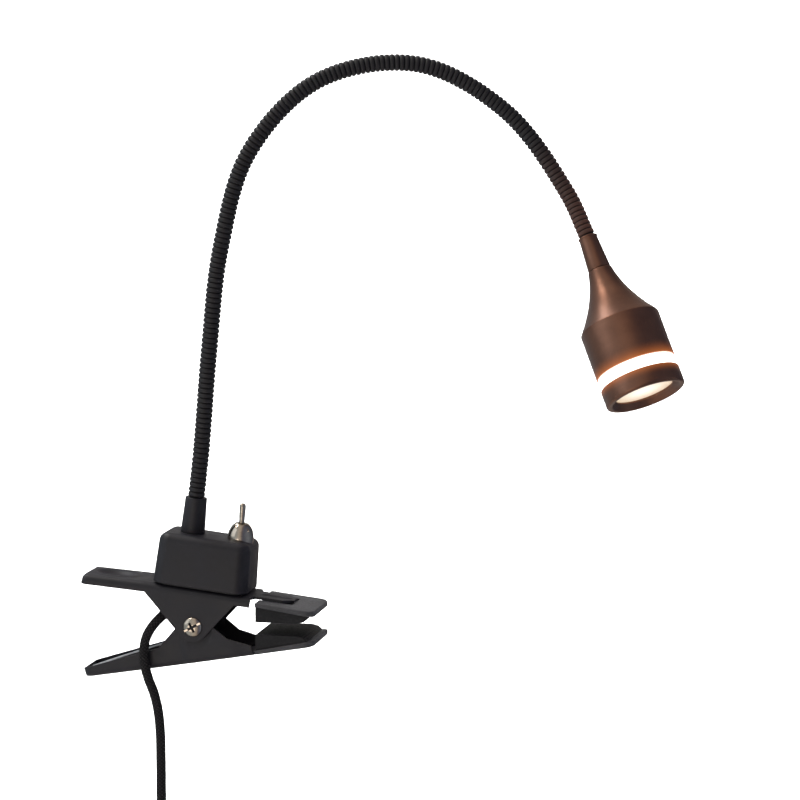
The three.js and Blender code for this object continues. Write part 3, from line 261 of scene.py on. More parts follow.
def between(tree, fac, low, high, start=0.35, end=0.65):
    """A value that runs from low to high as fac runs from start to end."""
    return add(tree, "ShaderNodeMapRange", {"Value": fac, "From Min": start, "From Max": end,
                                            "To Min": low, "To Max": high}).outputs[0]


def shades(tree, fac, dark, light, start=0.35, end=0.65):
    """A colour that runs from dark to light as fac runs from start to end."""
    ramp = add(tree, "ShaderNodeValToRGB", {"Fac": fac})
    for stop, (place, colour) in zip(ramp.color_ramp.elements, ((start, dark), (end, light))):
        stop.position, stop.color = place, linear(colour)
    return ramp.outputs["Color"]


def bumped(tree, surface, height, depth, strength=1.0):
    """Raises the surface by height times depth metres."""
    bump = add(tree, "ShaderNodeBump", {"Height": height, "Strength": strength, "Distance": depth})
    drive(tree, surface, Normal=bump.outputs[0])


def place_of(tree):
    return add(tree, "ShaderNodeTexCoord").outputs["Object"]


# %% [markdown]
# The cord is a two-core lead in a woven black sleeve, about 4.6 mm thick. Its yarns cross
# as two sets of slanting ribs, so the eye sees small diamonds and a dull, broken sheen.
# The ribs are drawn from the tube's own UV map, so they follow every bend.

# %% Woven sleeve
CORD_DIAMETER = 4.6 * MM
YARN_RISE = 3.4 * MM  # a yarn's climb in one crossing of the sleeve
YARNS_ROUND = 8.0


def woven_sleeve():
    material, tree, surface = finish_of("woven_cord_sleeve", Roughness=0.75,
                                        Specular_IOR_Level=0.25)
    uv = add(tree, "ShaderNodeUVMap", uv_map="surface").outputs[0]
    split = add(tree, "ShaderNodeSeparateXYZ", {0: uv})
    turns = sum_of(tree, "MULTIPLY", split.outputs[0], YARNS_ROUND)
    climb = sum_of(tree, "MULTIPLY", split.outputs[1], 2 / YARN_RISE)
    yarns = []
    for side in ("ADD", "SUBTRACT"):
        angle = sum_of(tree, "MULTIPLY", sum_of(tree, side, turns, climb), math.pi)
        yarns.append(sum_of(tree, "ABSOLUTE", sum_of(tree, "SINE", angle)))
    weave = sum_of(tree, "MULTIPLY", *yarns)
    drive(tree, surface, Base_Color=shades(tree, weave, 0x080707, 0x262324, 0.0, 0.85))
    bumped(tree, surface, weave, 0.35 * MM)
    return material


woven_cord_sleeve = woven_sleeve()
print("woven sleeve nodes", len(woven_cord_sleeve.node_tree.nodes))

# %% [markdown]
# The cord leaves the clip under the box, swings out past the lower lever and hangs down.
# A lead like this is 1.5 m long. What the view doesn't need is folded into a hank, as it
# comes in its box: flat turns beside and on each other, with a tie round the middle.
# First the free stretch, through listed points, on the same curve as the frame's.

# %% The cord's free stretch
CORD_ROUTE = [
    (-57.25, -5.2, 5.15), (-58.1, -6, 3), (-60.2, -8.9, 0.6), (-64.3, -12.6, -4),
    (-67.4, -14.2, -9.9), (-68.5, -14.4, -16.6), (-68.2, -14.4, -22.4), (-66.6, -13.8, -29.4),
    (-64.2, -13, -36.4), (-62.4, -12.3, -45), (-61.5, -12, -56), (-61.3, -12, -70),
    (-61.3, -12, -84), (-61.3, -12, -97),
]
CORD_EXIT = Vector((-56.994, -5.2, 7.331)) * MM


def through(points, t):
    """A point at t from 0 to 1 on the smooth (centripetal) curve through the points."""
    p = (len(points) - 1) * min(max(t, 0), 1)
    i = min(int(p), len(points) - 2)
    x1, x2 = points[i], points[i + 1]
    x0 = points[i - 1] if i > 0 else 2 * x1 - x2
    x3 = points[i + 2] if i + 2 < len(points) else 2 * x2 - x1
    d0, d1, d2 = (max((b - a).length ** 0.5, 1e-6) for a, b in ((x0, x1), (x1, x2), (x2, x3)))
    t1 = ((x1 - x0) / d0 - (x2 - x0) / (d0 + d1) + (x2 - x1) / d1) * d1
    t2 = ((x2 - x1) / d1 - (x3 - x1) / (d1 + d2) + (x3 - x2) / d2) * d1
    w = p - i
    return x1 + t1 * w + (3 * (x2 - x1) - 2 * t1 - t2) * w**2 + (2 * (x1 - x2) + t1 + t2) * w**3


def point_at(path, run, want):
    """The point at a distance along a path whose run is measured."""
    j = min(max(bisect.bisect_right(run, want) - 1, 0), len(run) - 2)
    return path[j].lerp(path[j + 1], (want - run[j]) / (run[j + 1] - run[j]))


def evenly(path, step):
    """The same line with points about step apart."""
    run = run_of(path)
    count = max(round(run[-1] / step), 1)
    return [point_at(path, run, run[-1] * i / count) for i in range(count + 1)]


route = [CORD_EXIT] + [Vector(p) * MM for p in CORD_ROUTE]
free_stretch = [through(route, i / 300) for i in range(301)]
print("free stretch", round(run_of(free_stretch)[-1], 4), "m")

# %% [markdown]
# The hank has five and a half turns in two layers. Each turn is two straight runs and two
# half rounds, and the rounds step out or in by one cord's thickness from turn to turn.
# Laying it out as a list of runs and folds keeps the whole length one smooth line.

# %% The hank's turns
HANK_CENTRE = Vector((-38.1, 0, -155.2)) * MM
HANK_ROWS_Y = (-12 * MM, -7.4 * MM)
HANK_HALF_RUN = 34.5 * MM
HANK_TURNS = [23.2 * MM, 18.6 * MM, 14 * MM]  # half widths, outer to inner
PLUG_TOP = -223.4 * MM


def fold(from_x, to_x, z, row_from, row_to, up):
    """A half round from one run to the next, which may step to the other layer."""
    middle, reach = (from_x + to_x) / 2, abs(to_x - from_x) / 2
    out = []
    for i in range(13):
        turn = math.pi * i / 12
        side = math.copysign(1, from_x - to_x)
        y = row_from + (row_to - row_from) * (1 - math.cos(turn)) / 2
        out.append(Vector((middle + side * reach * math.cos(turn), y,
                           z + (reach if up else -reach) * math.sin(turn))))
    return out


def hank_line():
    outer, middle, inner = HANK_TURNS
    front, rear = HANK_ROWS_Y
    # each entry: where the run on the left and the next one on the right stand, and their layer
    stops = [(-outer, front), (outer, front), (-middle, front), (middle, front), (-inner, front),
             (inner, front), (-inner, rear), (inner, rear), (-middle, rear), (middle, rear),
             (-outer, rear)]
    line = []
    for i in range(len(stops) - 1):
        (x0, y0), (x1, y1) = stops[i], stops[i + 1]
        up = i % 2 == 1
        line += fold(x0, x1, HANK_HALF_RUN if up else -HANK_HALF_RUN, y0, y1, up)
    shift = Vector((HANK_CENTRE.x, 0, HANK_CENTRE.z))
    return [shift + p for p in line]


tail = [Vector((HANK_CENTRE.x - HANK_TURNS[0], HANK_ROWS_Y[1], PLUG_TOP + 8 * MM)),
        Vector((HANK_CENTRE.x - HANK_TURNS[0], HANK_ROWS_Y[1], PLUG_TOP - 1 * MM))]
whole_cord = evenly(free_stretch + hank_line() + tail, 2 * MM)

# %% Cord
power_cord = piece("power_cord_sleeve",
                   sweep(whole_cord, [CORD_DIAMETER / 2] * len(whole_cord), 16), woven_cord_sleeve)
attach(power_cord, "clip_upper")
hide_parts("power_cord", "cord_hank", "cord_tail")
print("cord piece", len(power_cord.data.polygons), "faces")

# %% [markdown]
# A product table: a pale floor that curves up behind, far wider than the lamp. Its paint is
# matt, with a faint speckle from the roller.

# %% Floor and backdrop
FLOOR_LEVEL = cad_box[0].z - 1 * MM
FLAT_RUN, BACK_RADIUS = 1.5, 1.2  # metres of flat floor behind the middle, then the curve


def backdrop():
    bm = bmesh.new()
    bmesh.ops.create_grid(bm, x_segments=1, y_segments=24, size=1)
    for vert in bm.verts:
        run = (vert.co.y + 1) * 3.0 - 2.0
        turn = min(max(run - FLAT_RUN, 0) / BACK_RADIUS, math.pi / 2)
        past = max(run - FLAT_RUN - BACK_RADIUS * math.pi / 2, 0)
        vert.co = Vector((vert.co.x * 5, min(run, FLAT_RUN) + BACK_RADIUS * math.sin(turn),
                          BACK_RADIUS * (1 - math.cos(turn)) + past))
        vert.co.z += FLOOR_LEVEL
    return bm


floor_paint, tree, surface = finish_of("matt_studio_paint", Roughness=0.9)
speckle = grain(tree, place_of(tree), 4 * MM)
drive(tree, surface, Base_Color=shades(tree, speckle, 0xF3F3F2, 0xF6F6F5))
studio_floor = piece("studio_floor", backdrop(), floor_paint, 60)
studio_floor.visible_glossy = False  # polished parts show the room and the lights instead
print("floor at", round(FLOOR_LEVEL, 4))

# %% [markdown]
# Polished and bronze parts show what is around them, so the room is pale on the left and
# darker on the right, as in a studio with a dark card on one side. That gives the round
# parts a bright and a dark flank. The room is dimmer behind the lamp.

# %% World
ROOM_STOPS = (  # from the left to the right of the room
    (0.0, 0xB0BAC2), (0.22, 0xC6CED4), (0.34, 0xC8C8C8), (0.45, 0xDAD4CE),
    (0.6, 0xC6BAB2), (0.7, 0x7A7680), (0.82, 0x6A7086), (1.0, 0x8A92A2))
world = bpy.data.worlds.new("studio_room")
bpy.context.scene.world = world
world.use_nodes = True
tree = world.node_tree
tree.nodes.clear()
heading = add(tree, "ShaderNodeTexCoord").outputs["Generated"]
split = add(tree, "ShaderNodeSeparateXYZ", {0: heading})
side = between(tree, split.outputs[0], 0.0, 1.0, -1.0, 1.0)
room = add(tree, "ShaderNodeValToRGB", {"Fac": side})
for place, _ in ROOM_STOPS[1:-1]:
    room.color_ramp.elements.new(place)
for stop, (place, colour) in zip(room.color_ramp.elements, ROOM_STOPS):
    stop.position, stop.color = place, linear(colour)
back = between(tree, split.outputs[1], 1.05, 0.6, -0.1, 0.6)
background = add(tree, "ShaderNodeBackground", {"Color": room.outputs[0], "Strength": back})
add(tree, "ShaderNodeOutputWorld", {"Surface": background.outputs[0]})
bpy.context.scene.view_settings.view_transform = "Standard"
print("world", world.name)

# %% [markdown]
# A large soft light stands on the left, a narrow strip high over the clip, a low card in
# front, and a square one above and behind. A fifth light is only for the backdrop.

# %% Lights
def soft_light(name, place, aim, size, watts, colour=0xFFFFFF):
    """An area light; place, aim and size are in metres."""
    lamp = bpy.data.lights.new(name, "AREA")
    lamp.shape, lamp.size, lamp.size_y = "RECTANGLE", size[0], size[1]
    lamp.energy, lamp.color = watts, linear(colour)[:3]
    made = bpy.data.objects.new(name, lamp)
    bpy.context.scene.collection.objects.link(made)
    made.location = place
    made.rotation_euler = (Vector(aim) - Vector(place)).to_track_quat("-Z", "Y").to_euler()
    return made


soft_light("left_softbox", (-1.5, -0.9, 0.9), (0, 0, 0.1), (1.2, 1.6), 5, 0xF2F4F8)
soft_light("high_strip", (-0.62, -0.12, 1.1), (0.13, 0, 0.15), (0.16, 0.4), 2.5, 0xFFF2E6)
soft_light("low_card", (-0.32, -1.0, -0.27), (0.1, 0, 0.1), (0.5, 0.4), 1.2, 0xFFF0E6)
soft_light("top_softbox", (-0.85, 0.62, 1.4), (0.1, 0, 0.1), (0.55, 0.55), 5.5)
wash = soft_light("backdrop_wash", (0, 0.7, 1.5), (0, 2.4, 0.2), (2.5, 0.6), 150)
wash.visible_glossy = False  # it lights the backdrop, and draws no streak on the metal
print("lights", len(bpy.data.lights))

# %% [markdown]
# The clip, the switch box and the collar are pressed steel with a baked satin enamel. Such
# paint has a fine orange peel, about half a millimetre from crest to crest, and the eye reads
# it as a soft, slightly uneven sheen on charcoal. Edges polish a little with handling; this
# finish leaves that out.

# %% Satin enamel
def satin_enamel():
    material, tree, surface = finish_of("baked_satin_enamel", Metallic=0.0, Specular_IOR_Level=0.35)
    where = place_of(tree)
    cloud, peel = grain(tree, where, 9 * MM), grain(tree, where, 0.5 * MM, 2.0)
    drive(tree, surface, Base_Color=shades(tree, cloud, 0x1B1A1E, 0x222126),
          Roughness=between(tree, cloud, 0.42, 0.52))
    bumped(tree, surface, peel, 0.02 * MM, 0.6)
    return material


baked_satin_enamel = satin_enamel()

# %% [markdown]
# The head is turned aluminium with an antique bronze plating: brown, darker in patches, with
# very fine rings round its axis from the lathe. The rings are drawn about the head's own
# axis, so a Mapping node turns the pattern to it. Near the lit ring the plating is given an
# amber emission, a painted glow of the ring's light, strongest right beside the ring.

# %% The head's place
NECK_END = Vector((0.132222, 0.041652, 0.178549))
HEAD_LEAN, HEAD_HEADING = math.radians(149.8), math.radians(-40)
HEAD_AXIS = Vector((math.sin(HEAD_LEAN) * math.cos(HEAD_HEADING),
                    math.sin(HEAD_LEAN) * math.sin(HEAD_HEADING), math.cos(HEAD_LEAN)))
HEAD_TOP = NECK_END + 0.9 * MM * HEAD_AXIS
HEAD_TURN = Z.rotation_difference(HEAD_AXIS)
HEAD = Matrix.Translation(HEAD_TOP) @ HEAD_TURN.to_matrix().to_4x4()
RING_FROM, RING_TO = 68.2 * MM, 73.2 * MM


def head_place(tree):
    """Object coordinates in the head's own frame: its third part runs down the axis."""
    back = HEAD.inverted()
    return add(tree, "ShaderNodeMapping", {"Vector": place_of(tree), "Location": back.translation,
                                           "Rotation": back.to_euler()}).outputs[0]


def antique_bronze():
    material, tree, surface = finish_of("antique_bronze_plating", Metallic=0.92, Coat_Weight=0.2,
                                        Coat_Roughness=0.25)
    where = head_place(tree)
    cloud = grain(tree, where, 14 * MM)
    rings = grain(tree, where, 0.35 * MM, 2.0, (60, 60, 1))
    down = add(tree, "ShaderNodeSeparateXYZ", {0: where}).outputs[2]
    # painted glow: before, past and near mark the barrel beside the lit ring, where amber emission stands in
    # for its light
    before = between(tree, down, 0.0, 1.0, RING_FROM - 7 * MM, RING_FROM)
    past = between(tree, down, 0.0, 1.0, RING_TO + 5 * MM, RING_TO)
    near = sum_of(tree, "MULTIPLY", before, past)
    drive(tree, surface, Base_Color=shades(tree, cloud, 0x6E4C3C, 0x805A47, 0.3, 0.7),
          Roughness=between(tree, rings, 0.30, 0.42, 0.3, 0.7),
          Emission_Strength=sum_of(tree, "POWER", near, 2.2))
    # the colour of the painted glow beside the ring
    surface.inputs["Emission Color"].default_value = linear(0xA85A24)
    bumped(tree, surface, rings, 0.01 * MM, 0.5)
    return material


antique_bronze_plating = antique_bronze()
print("bronze nodes", len(antique_bronze_plating.node_tree.nodes))

# %% [markdown]
# The gooseneck is wound steel strip, blackened like the clip. Towards the head it wears the
# head's bronze. The shade follows two values stored on each point:
# how far along the neck it is, and how near the crest of its bead. The grooves are darker:
# partly grease and dust, partly painted shade where light doesn't reach between the beads.

# %% Wound strip
def wound_strip():
    material, tree, surface = finish_of("blackened_wound_steel", Specular_IOR_Level=0.35)
    along = add(tree, "ShaderNodeAttribute", attribute_name="along_neck").outputs["Fac"]
    where = place_of(tree)
    cloud = grain(tree, where, 2.5 * MM)
    crest = add(tree, "ShaderNodeAttribute", attribute_name="crest").outputs["Fac"]
    shade = shades(tree, along, 0x1F1D1F, 0x52362C, 0.86, 0.99)
    # darker in the grooves between the beads: painted shade, together with grease and dust
    groove_shade_and_grime = between(tree, crest, 0.12, 1.0, 0.2, 0.8)
    groove_shaded_colour = add(tree, "ShaderNodeVectorMath", {0: shade, "Scale": groove_shade_and_grime}, operation="SCALE")
    drive(tree, surface, Base_Color=groove_shaded_colour.outputs[0], Roughness=between(tree, cloud, 0.42, 0.58))
    bumped(tree, surface, grain(tree, where, 0.3 * MM), 0.02 * MM, 0.5)
    return material


blackened_wound_steel = wound_strip()

# %% [markdown]
# Bright parts: the toggle, its dome nut and the pivot screw are nickel plated, a warm white
# metal with hair-fine polishing marks. Nuts, washers and the spring are zinc plated steel,
# greyer and duller, with a cloudy passivated bloom.

# %% Plated metals
def plated(name, dark, light, smooth, dull, mark):
    material, tree, surface = finish_of(name, Metallic=1.0)
    where = place_of(tree)
    cloud, marks = grain(tree, where, 3 * MM), grain(tree, where, mark, 2.0, (1, 1, 12))
    drive(tree, surface, Base_Color=shades(tree, cloud, dark, light, 0.3, 0.7),
          Roughness=between(tree, marks, smooth, dull))
    bumped(tree, surface, marks, 0.004 * MM, 0.4)
    return material


bright_nickel = plated("bright_nickel_plate", 0xA2988A, 0xBAB0A2, 0.08, 0.2, 0.15 * MM)
zinc_plate = plated("zinc_plated_steel", 0x8B8C8E, 0xA9AAAC, 0.28, 0.42, 0.25 * MM)
bare_brass = plated("turned_brass", 0xA98740, 0xC4A25A, 0.22, 0.36, 0.2 * MM)
cast_aluminium = plated("extruded_aluminium", 0xA6A8AA, 0xBDBFC1, 0.3, 0.45, 0.3 * MM)

# %% [markdown]
# The jaw pads are soft PVC. The skin has a fine leathery grain from its mould and is duller
# than the paint beside it. It is painted a lighter grey than the pad's body: a painted
# highlight on the top, which faces the light. The plug, the base plate and the grommet are
# harder plastic from a spark-eroded mould: a fine, even pitting.

# %% Plastics
def moulded(name, dark, light, rough, pit, depth, **shader):
    material, tree, surface = finish_of(name, **shader)
    where = place_of(tree)
    cloud, pits = grain(tree, where, 7 * MM), grain(tree, where, pit, 4.0)
    drive(tree, surface, Base_Color=shades(tree, cloud, dark, light),
          Roughness=between(tree, pits, rough - 0.08, rough + 0.08))
    bumped(tree, surface, pits, depth, 0.7)
    return material


# the pad skin's lighter grey is a painted highlight of its lit top; the real black PVC is soft_pvc_core
soft_pvc = moulded("soft_pvc_skin", 0x353537, 0x3D3D40, 0.55, 0.7 * MM, 0.05 * MM)
soft_pvc_core = moulded("soft_pvc_core", 0x111113, 0x18181A, 0.6, 0.7 * MM, 0.05 * MM,
                         Specular_IOR_Level=0.3)
eroded_plastic = moulded("spark_eroded_plastic", 0x1B1B1D, 0x232325, 0.5, 0.35 * MM, 0.03 * MM)
red_plastic = moulded("moulded_red_plastic", 0x8C2622, 0x9C322C, 0.45, 0.5 * MM, 0.02 * MM)
lead_skin = moulded("black_lead_insulation", 0x18181A, 0x222224, 0.4, 0.5 * MM, 0.02 * MM)
board_laminate = moulded("green_board_laminate", 0x255034, 0x31623F, 0.4, 0.4 * MM, 0.02 * MM)
white_reflector = moulded("white_reflector_plastic", 0xE2E2DE, 0xECECE8, 0.3, 0.5 * MM, 0.01 * MM)
print("plastics made")

# %% [markdown]
# Two clear parts give the light. The ring is frosted acrylic, lit from inside, so it glows
# evenly and almost white. The front lens is lit from the LED behind it: brightest at the
# middle, cream towards its rim.

# %% Lit acrylic
def lit_acrylic(name, middle, rim, strength_middle, strength_rim, from_axis, to_axis):
    material, tree, surface = finish_of(name, Roughness=0.25, IOR=1.49)
    where = head_place(tree)
    flat = add(tree, "ShaderNodeVectorMath", {0: where, 1: (1, 1, 0)}, operation="MULTIPLY")
    away = add(tree, "ShaderNodeVectorMath", {0: flat.outputs[0]}, operation="LENGTH")
    frost = grain(tree, where, 0.6 * MM)
    spread = add(tree, "ShaderNodeMapRange",
                 {"Value": away.outputs["Value"], "From Min": from_axis, "From Max": to_axis},
                 interpolation_type="SMOOTHSTEP").outputs[0]
    drive(tree, surface, Emission_Color=shades(tree, spread, middle, rim, 0.0, 1.0),
          Base_Color=shades(tree, frost, 0x8A857C, 0x9A958C),
          Emission_Strength=between(tree, spread, strength_middle, strength_rim, 0.0, 1.0))
    bumped(tree, surface, frost, 0.02 * MM, 0.5)
    return material


frosted_ring = lit_acrylic("frosted_lit_acrylic", 0xFFFAF2, 0xFFFAF2, 3.0, 3.0, 0.0, 19 * MM)
lit_lens = lit_acrylic("lit_lens_acrylic", 0xFFF6E8, 0xF6DCBC, 0.95, 0.72, 1 * MM, 14 * MM)
print("lit parts made")

# %% [markdown]
# The gooseneck is a tube wound from steel strip: a long row of rounded beads, 2.35 mm apart,
# with a dark gap between each two. It bends anywhere, so here it is cut into eight pieces,
# one at each joint of the frame, and each piece bends smoothly from one link to the next.
# The pieces meet in a gap between two beads, where no join shows. The tube's two ends reach
# almost to the collar and to the head's sleeve.

# %% The neck's line
NECK_POINTS = [Vector(p) for p in (
    (-0.046224, 0, 0.055924), (-0.043564, 0, 0.079273), (-0.039914, 0.00186, 0.126094),
    (-0.03537, 0.006565, 0.172636), (-0.023781, 0.01595, 0.217208),
    (0.006812, 0.028936, 0.250442), (0.051651, 0.040951, 0.257794),
    (0.092519, 0.048157, 0.235729), (0.121438, 0.047147, 0.198692),
    (0.132222, 0.041652, 0.178549))]
BEAD_PITCH = 2.35 * MM
BEAD = ((0.0, 3.3), (0.05, 3.55), (0.14, 3.82), (0.28, 3.97), (0.5, 4.02), (0.72, 3.97),
        (0.86, 3.82), (0.95, 3.55))
NECK_SIDES = 24
SAMPLES = 200  # of the neck's line from one joint to the next

neck_samples = SAMPLES * (len(NECK_POINTS) - 1)
neck_line = [through(NECK_POINTS, i / neck_samples) for i in range(neck_samples + 1)]
neck_run = run_of(neck_line)
bead_count = round(neck_run[-1] / BEAD_PITCH)
print("neck", round(neck_run[-1], 4), "m,", bead_count, "beads")


def neck_at(run):
    return point_at(neck_line, neck_run, run)


# %% Neck pieces
bead = neck_run[-1] / bead_count
ends = [0] + [round(neck_run[SAMPLES * k + SAMPLES // 2] / bead) for k in range(1, 8)]
ends.append(bead_count)
neck_bodies = ["clip_upper"] + [f"neck_{k}" for k in range(2, 9)] + ["lamp_head"]
BEND_REACH = 23.3 * MM  # each side of a joint
groove, crown = BEAD[0][1] * MM, BEAD[4][1] * MM
neck_up = (NECK_POINTS[1] - NECK_POINTS[0]).normalized()
tube_ends = {1: NECK_POINTS[0] - 0.25 * MM * neck_up, 8: NECK_END + 0.8 * MM * HEAD_AXIS}
for k in range(1, 9):
    beads = range(ends[k - 1], ends[k])
    runs = [(b + share) * bead for b in beads for share, _ in BEAD] + [ends[k] * bead]
    radii = [radius * MM for _ in beads for _, radius in BEAD] + [groove]
    line = [neck_at(r) for r in runs]
    if k in tube_ends:
        place = 0 if k == 1 else len(runs)
        line.insert(place, tube_ends[k])
        runs.insert(place, runs[0] if k == 1 else runs[-1])
        radii.insert(place, BEAD[1][1] * MM)
    stretch = piece(f"gooseneck_{k}", sweep(line, radii, NECK_SIDES, runs[0]),
                    blackened_wound_steel, 60)
    rings = [min(i // NECK_SIDES, len(runs) - 1) for i in range(len(stretch.data.vertices))]
    for name, values in (("along_neck", [r / neck_run[-1] for r in runs]),
                         ("crest", [(r - groove) / (crown - groove) for r in radii])):
        mark = stretch.data.attributes.new(name, "FLOAT", "POINT")
        mark.data.foreach_set("value", [values[ring] for ring in rings])
    here = neck_run[SAMPLES * k]
    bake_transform(stretch, neck_bodies[k - 1], neck_bodies[k], start=tuple(neck_at(here - BEND_REACH)),
             end=tuple(neck_at(min(here + BEND_REACH, neck_run[-1]))))
    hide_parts(*([f"neck_link_{k}", "neck_link_9"] if k == 8 else [f"neck_link_{k}"]))
print("neck pieces", ends)

# %% [markdown]
# A few steps come back in many pieces, so they are written once: edges are broken with a
# small bevel, a block is set in its place, and an open sheet gets its wall. The wall goes
# inwards, so the sheet's faces are turned outwards first.

# %% Small steps
def bevel_all(bm, edges, width, segments):
    bmesh.ops.bevel(bm, geom=edges, offset=width * MM, offset_type="OFFSET", segments=segments,
                    profile=0.5, affect="EDGES", clamp_overlap=True, material=-1)


def sharp_edges(bm, degrees=28):
    return [e for e in bm.edges if len(e.link_faces) == 2
            and e.calc_face_angle() > math.radians(degrees)]


def upright(edge):
    return abs((edge.verts[0].co - edge.verts[1].co).normalized().z) > 0.9


def put(bm, place):
    bmesh.ops.transform(bm, matrix=place, verts=bm.verts)
    return bm


def block(low, high, place=Matrix.Identity(4)):
    """A box between two corners, in millimetres, set in its place."""
    bm = bmesh.new()
    low, high = Vector(low) * MM, Vector(high) * MM
    bmesh.ops.create_cube(bm, size=1)
    bmesh.ops.scale(bm, vec=high - low, verts=bm.verts)
    bmesh.ops.translate(bm, vec=(low + high) / 2, verts=bm.verts)
    return put(bm, place)


def thicken(bm, wall, outward):
    """Turns a sheet's faces outwards and gives it a wall behind them, in millimetres."""
    bmesh.ops.recalc_face_normals(bm, faces=bm.faces)
    if sum(outward(f) for f in bm.faces) < 0:
        bmesh.ops.reverse_faces(bm, faces=bm.faces)
    bmesh.ops.solidify(bm, geom=bm.faces[:], thickness=-wall * MM)
    bmesh.ops.recalc_face_normals(bm, faces=bm.faces)


def faces_up(face):
    return face.normal.z * face.calc_area()


def break_edges(made, width, segments, degrees=50):
    bevel = made.modifiers.new("broken_edges", "BEVEL")
    bevel.width, bevel.segments = width * MM, segments
    bevel.angle_limit = math.radians(degrees)


def stands_for(obj, body, slot, *cad):
    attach(obj, body)
    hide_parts(*cad)
    return obj


# %% [markdown]
# Most of the head was made on a lathe, so it is made the same way here: half of the outline
# is drawn beside the axis and spun all the way round. Corners that a lathe tool would break
# get a small bevel afterwards, because a bright thin line along an edge is what makes metal
# look like metal.

# %% Turning a profile
def polyline(bm, points):
    """A chain of vertices in the XZ plane; returns its vertices and edges."""
    verts = [bm.verts.new((r * MM, 0, h * MM)) for r, h in points]
    return verts, [bm.edges.new(pair) for pair in zip(verts, verts[1:])]


def turned(name, profile, place, material, closed=True, steps=96, edge=0.2, smooth=35):
    """A profile of (radius, height) in millimetres, spun about Z and put in its place."""
    bm = bmesh.new()
    verts, edges = polyline(bm, profile)
    if closed:
        edges.append(bm.edges.new((verts[-1], verts[0])))
    bmesh.ops.spin(bm, geom=verts + edges, cent=(0, 0, 0), axis=(0, 0, 1), angle=math.tau,
                   steps=steps, use_merge=True)
    bmesh.ops.remove_doubles(bm, verts=bm.verts, dist=1e-6)
    bmesh.ops.recalc_face_normals(bm, faces=bm.faces)
    if edge:
        bevel_all(bm, sharp_edges(bm), edge, 3)
    return piece(name, put(bm, place), material, smooth)


def lathe(name, profile, place, material, body, slot, cad, **turning):
    """A turned piece that rides a body and stands for one frame part."""
    return stands_for(turned(name, profile, place, material, **turning), body, slot, cad)


def arc(centre, radius, start, end, count):
    """Points of an arc in a profile, angles in degrees."""
    out = []
    for i in range(count + 1):
        angle = math.radians(start + (end - start) * i / count)
        out.append((centre[0] + radius * math.cos(angle), centre[1] + radius * math.sin(angle)))
    return out


# %% [markdown]
# The sleeve is a slim cone with a small rolled rim at the neck's end; it plugs into the
# shell. The shell flares like a trumpet and runs on as a straight barrel.

# %% Sleeve and shell
SLEEVE = [(2.4, 0), (4.0, 0), *arc((4.2, 0.45), 0.45, -80, 60, 5), (4.35, 1.3), (4.6, 4),
          (5.4, 16.4), (5.2, 17), (3.6, 17), (3.6, 25), (2.4, 25)]
lathe("head_sleeve_turned", SLEEVE, HEAD, antique_bronze_plating, "lamp_head", "bronze",
      "head_sleeve", edge=0.12)

FLARE_FOOT, FLARE, BARREL_END = 17.3, 28, 67.9
HEAD_RADIUS, NECK_RADIUS, FIRST_SLOPE, WALL = 19, 5.7, 0.18, 1.5


def flare_radius(t):
    gain = HEAD_RADIUS - NECK_RADIUS - FIRST_SLOPE * FLARE
    return NECK_RADIUS + FIRST_SLOPE * t + gain * (t / FLARE) ** 2


flare_out = [(flare_radius(FLARE * i / 24), FLARE_FOOT + FLARE * i / 24) for i in range(25)]
flare_in = [(flare_radius(t) - WALL, FLARE_FOOT + t) for t in (28, 24, 20, 16, 12, 8, 4.4)]
SHELL = [(3.9, FLARE_FOOT), (5.2, FLARE_FOOT), *flare_out, (HEAD_RADIUS, BARREL_END),
         (HEAD_RADIUS - WALL, BARREL_END), *flare_in, (3.9, FLARE_FOOT + 4.4)]
shell = lathe("head_shell_turned", SHELL, HEAD, antique_bronze_plating, "lamp_head", "bronze",
              "head_shell", edge=0.25)
print("shell faces", len(shell.data.polygons))

# %% [markdown]
# The lit ring sits between the barrel and the bezel, a hair below their surface. The bezel's
# front rim is rounded, and inside it a slanted wall leads down to the lens.

# %% Ring, bezel and lens
RING = [(15.1, 68.2), (18.5, 68.2), (18.7, 68.5), (18.72, 70.7), (18.7, 72.9), (18.5, 73.2),
        (15.1, 73.2)]
lathe("lit_ring", RING, HEAD, frosted_ring, "lamp_head", "acrylic", "light_ring", edge=0)

BEZEL = [(14.6, 73.5), (19, 73.5), (19, 80.9), *arc((17.8, 80.9), 1.2, 15, 90, 6),
         (16.8, 82.1), *arc((16.8, 81.5), 0.6, 90, 150, 3), (13.9, 79.8), (13.7, 79.5),
         (13.7, 79.0), (14.6, 79.0)]
lathe("front_bezel_turned", BEZEL, HEAD, antique_bronze_plating, "lamp_head", "bronze",
      "front_bezel", edge=0.15)

LENS = [(0, 77.1), (14.3, 77.1), (14.3, 78.6), (13.2, 78.7), (8, 79.05), (0, 79.2)]
lathe("front_lens_turned", LENS, HEAD, lit_lens, "lamp_head", "acrylic", "lens",
      closed=False, edge=0)
print("ring, bezel and lens made")

# %% [markdown]
# The clip has two levers that turn about one screw. Everything on the upper lever is drawn
# in the upper lever's frame, with the pivot at its origin, and everything on the lower one
# in the lower lever's, built plate up and then turned over.

# %% The levers' places
PIVOT = Matrix.Translation((-0.045, 0, -0.004))
UPPER_PITCH, LOWER_PITCH = math.radians(6.5), math.radians(9.8)
UPPER = PIVOT @ Matrix.Rotation(UPPER_PITCH, 4, "Y")
LOWER_SIDE = PIVOT @ Matrix.Rotation(-LOWER_PITCH, 4, "Y")
LOWER = LOWER_SIDE @ Matrix.Rotation(math.pi, 4, "X")
RISE = 16.5  # the pivot to the outside of a lever's plate
SHEET, BEND = 1.2, 1.6  # the blank's thickness, and the outside radius of its folds
FOLD_AT, FRONT, TONGUE_END = -26, 26, 45
print("upper lever at", [round(v, 4) for v in UPPER.translation])

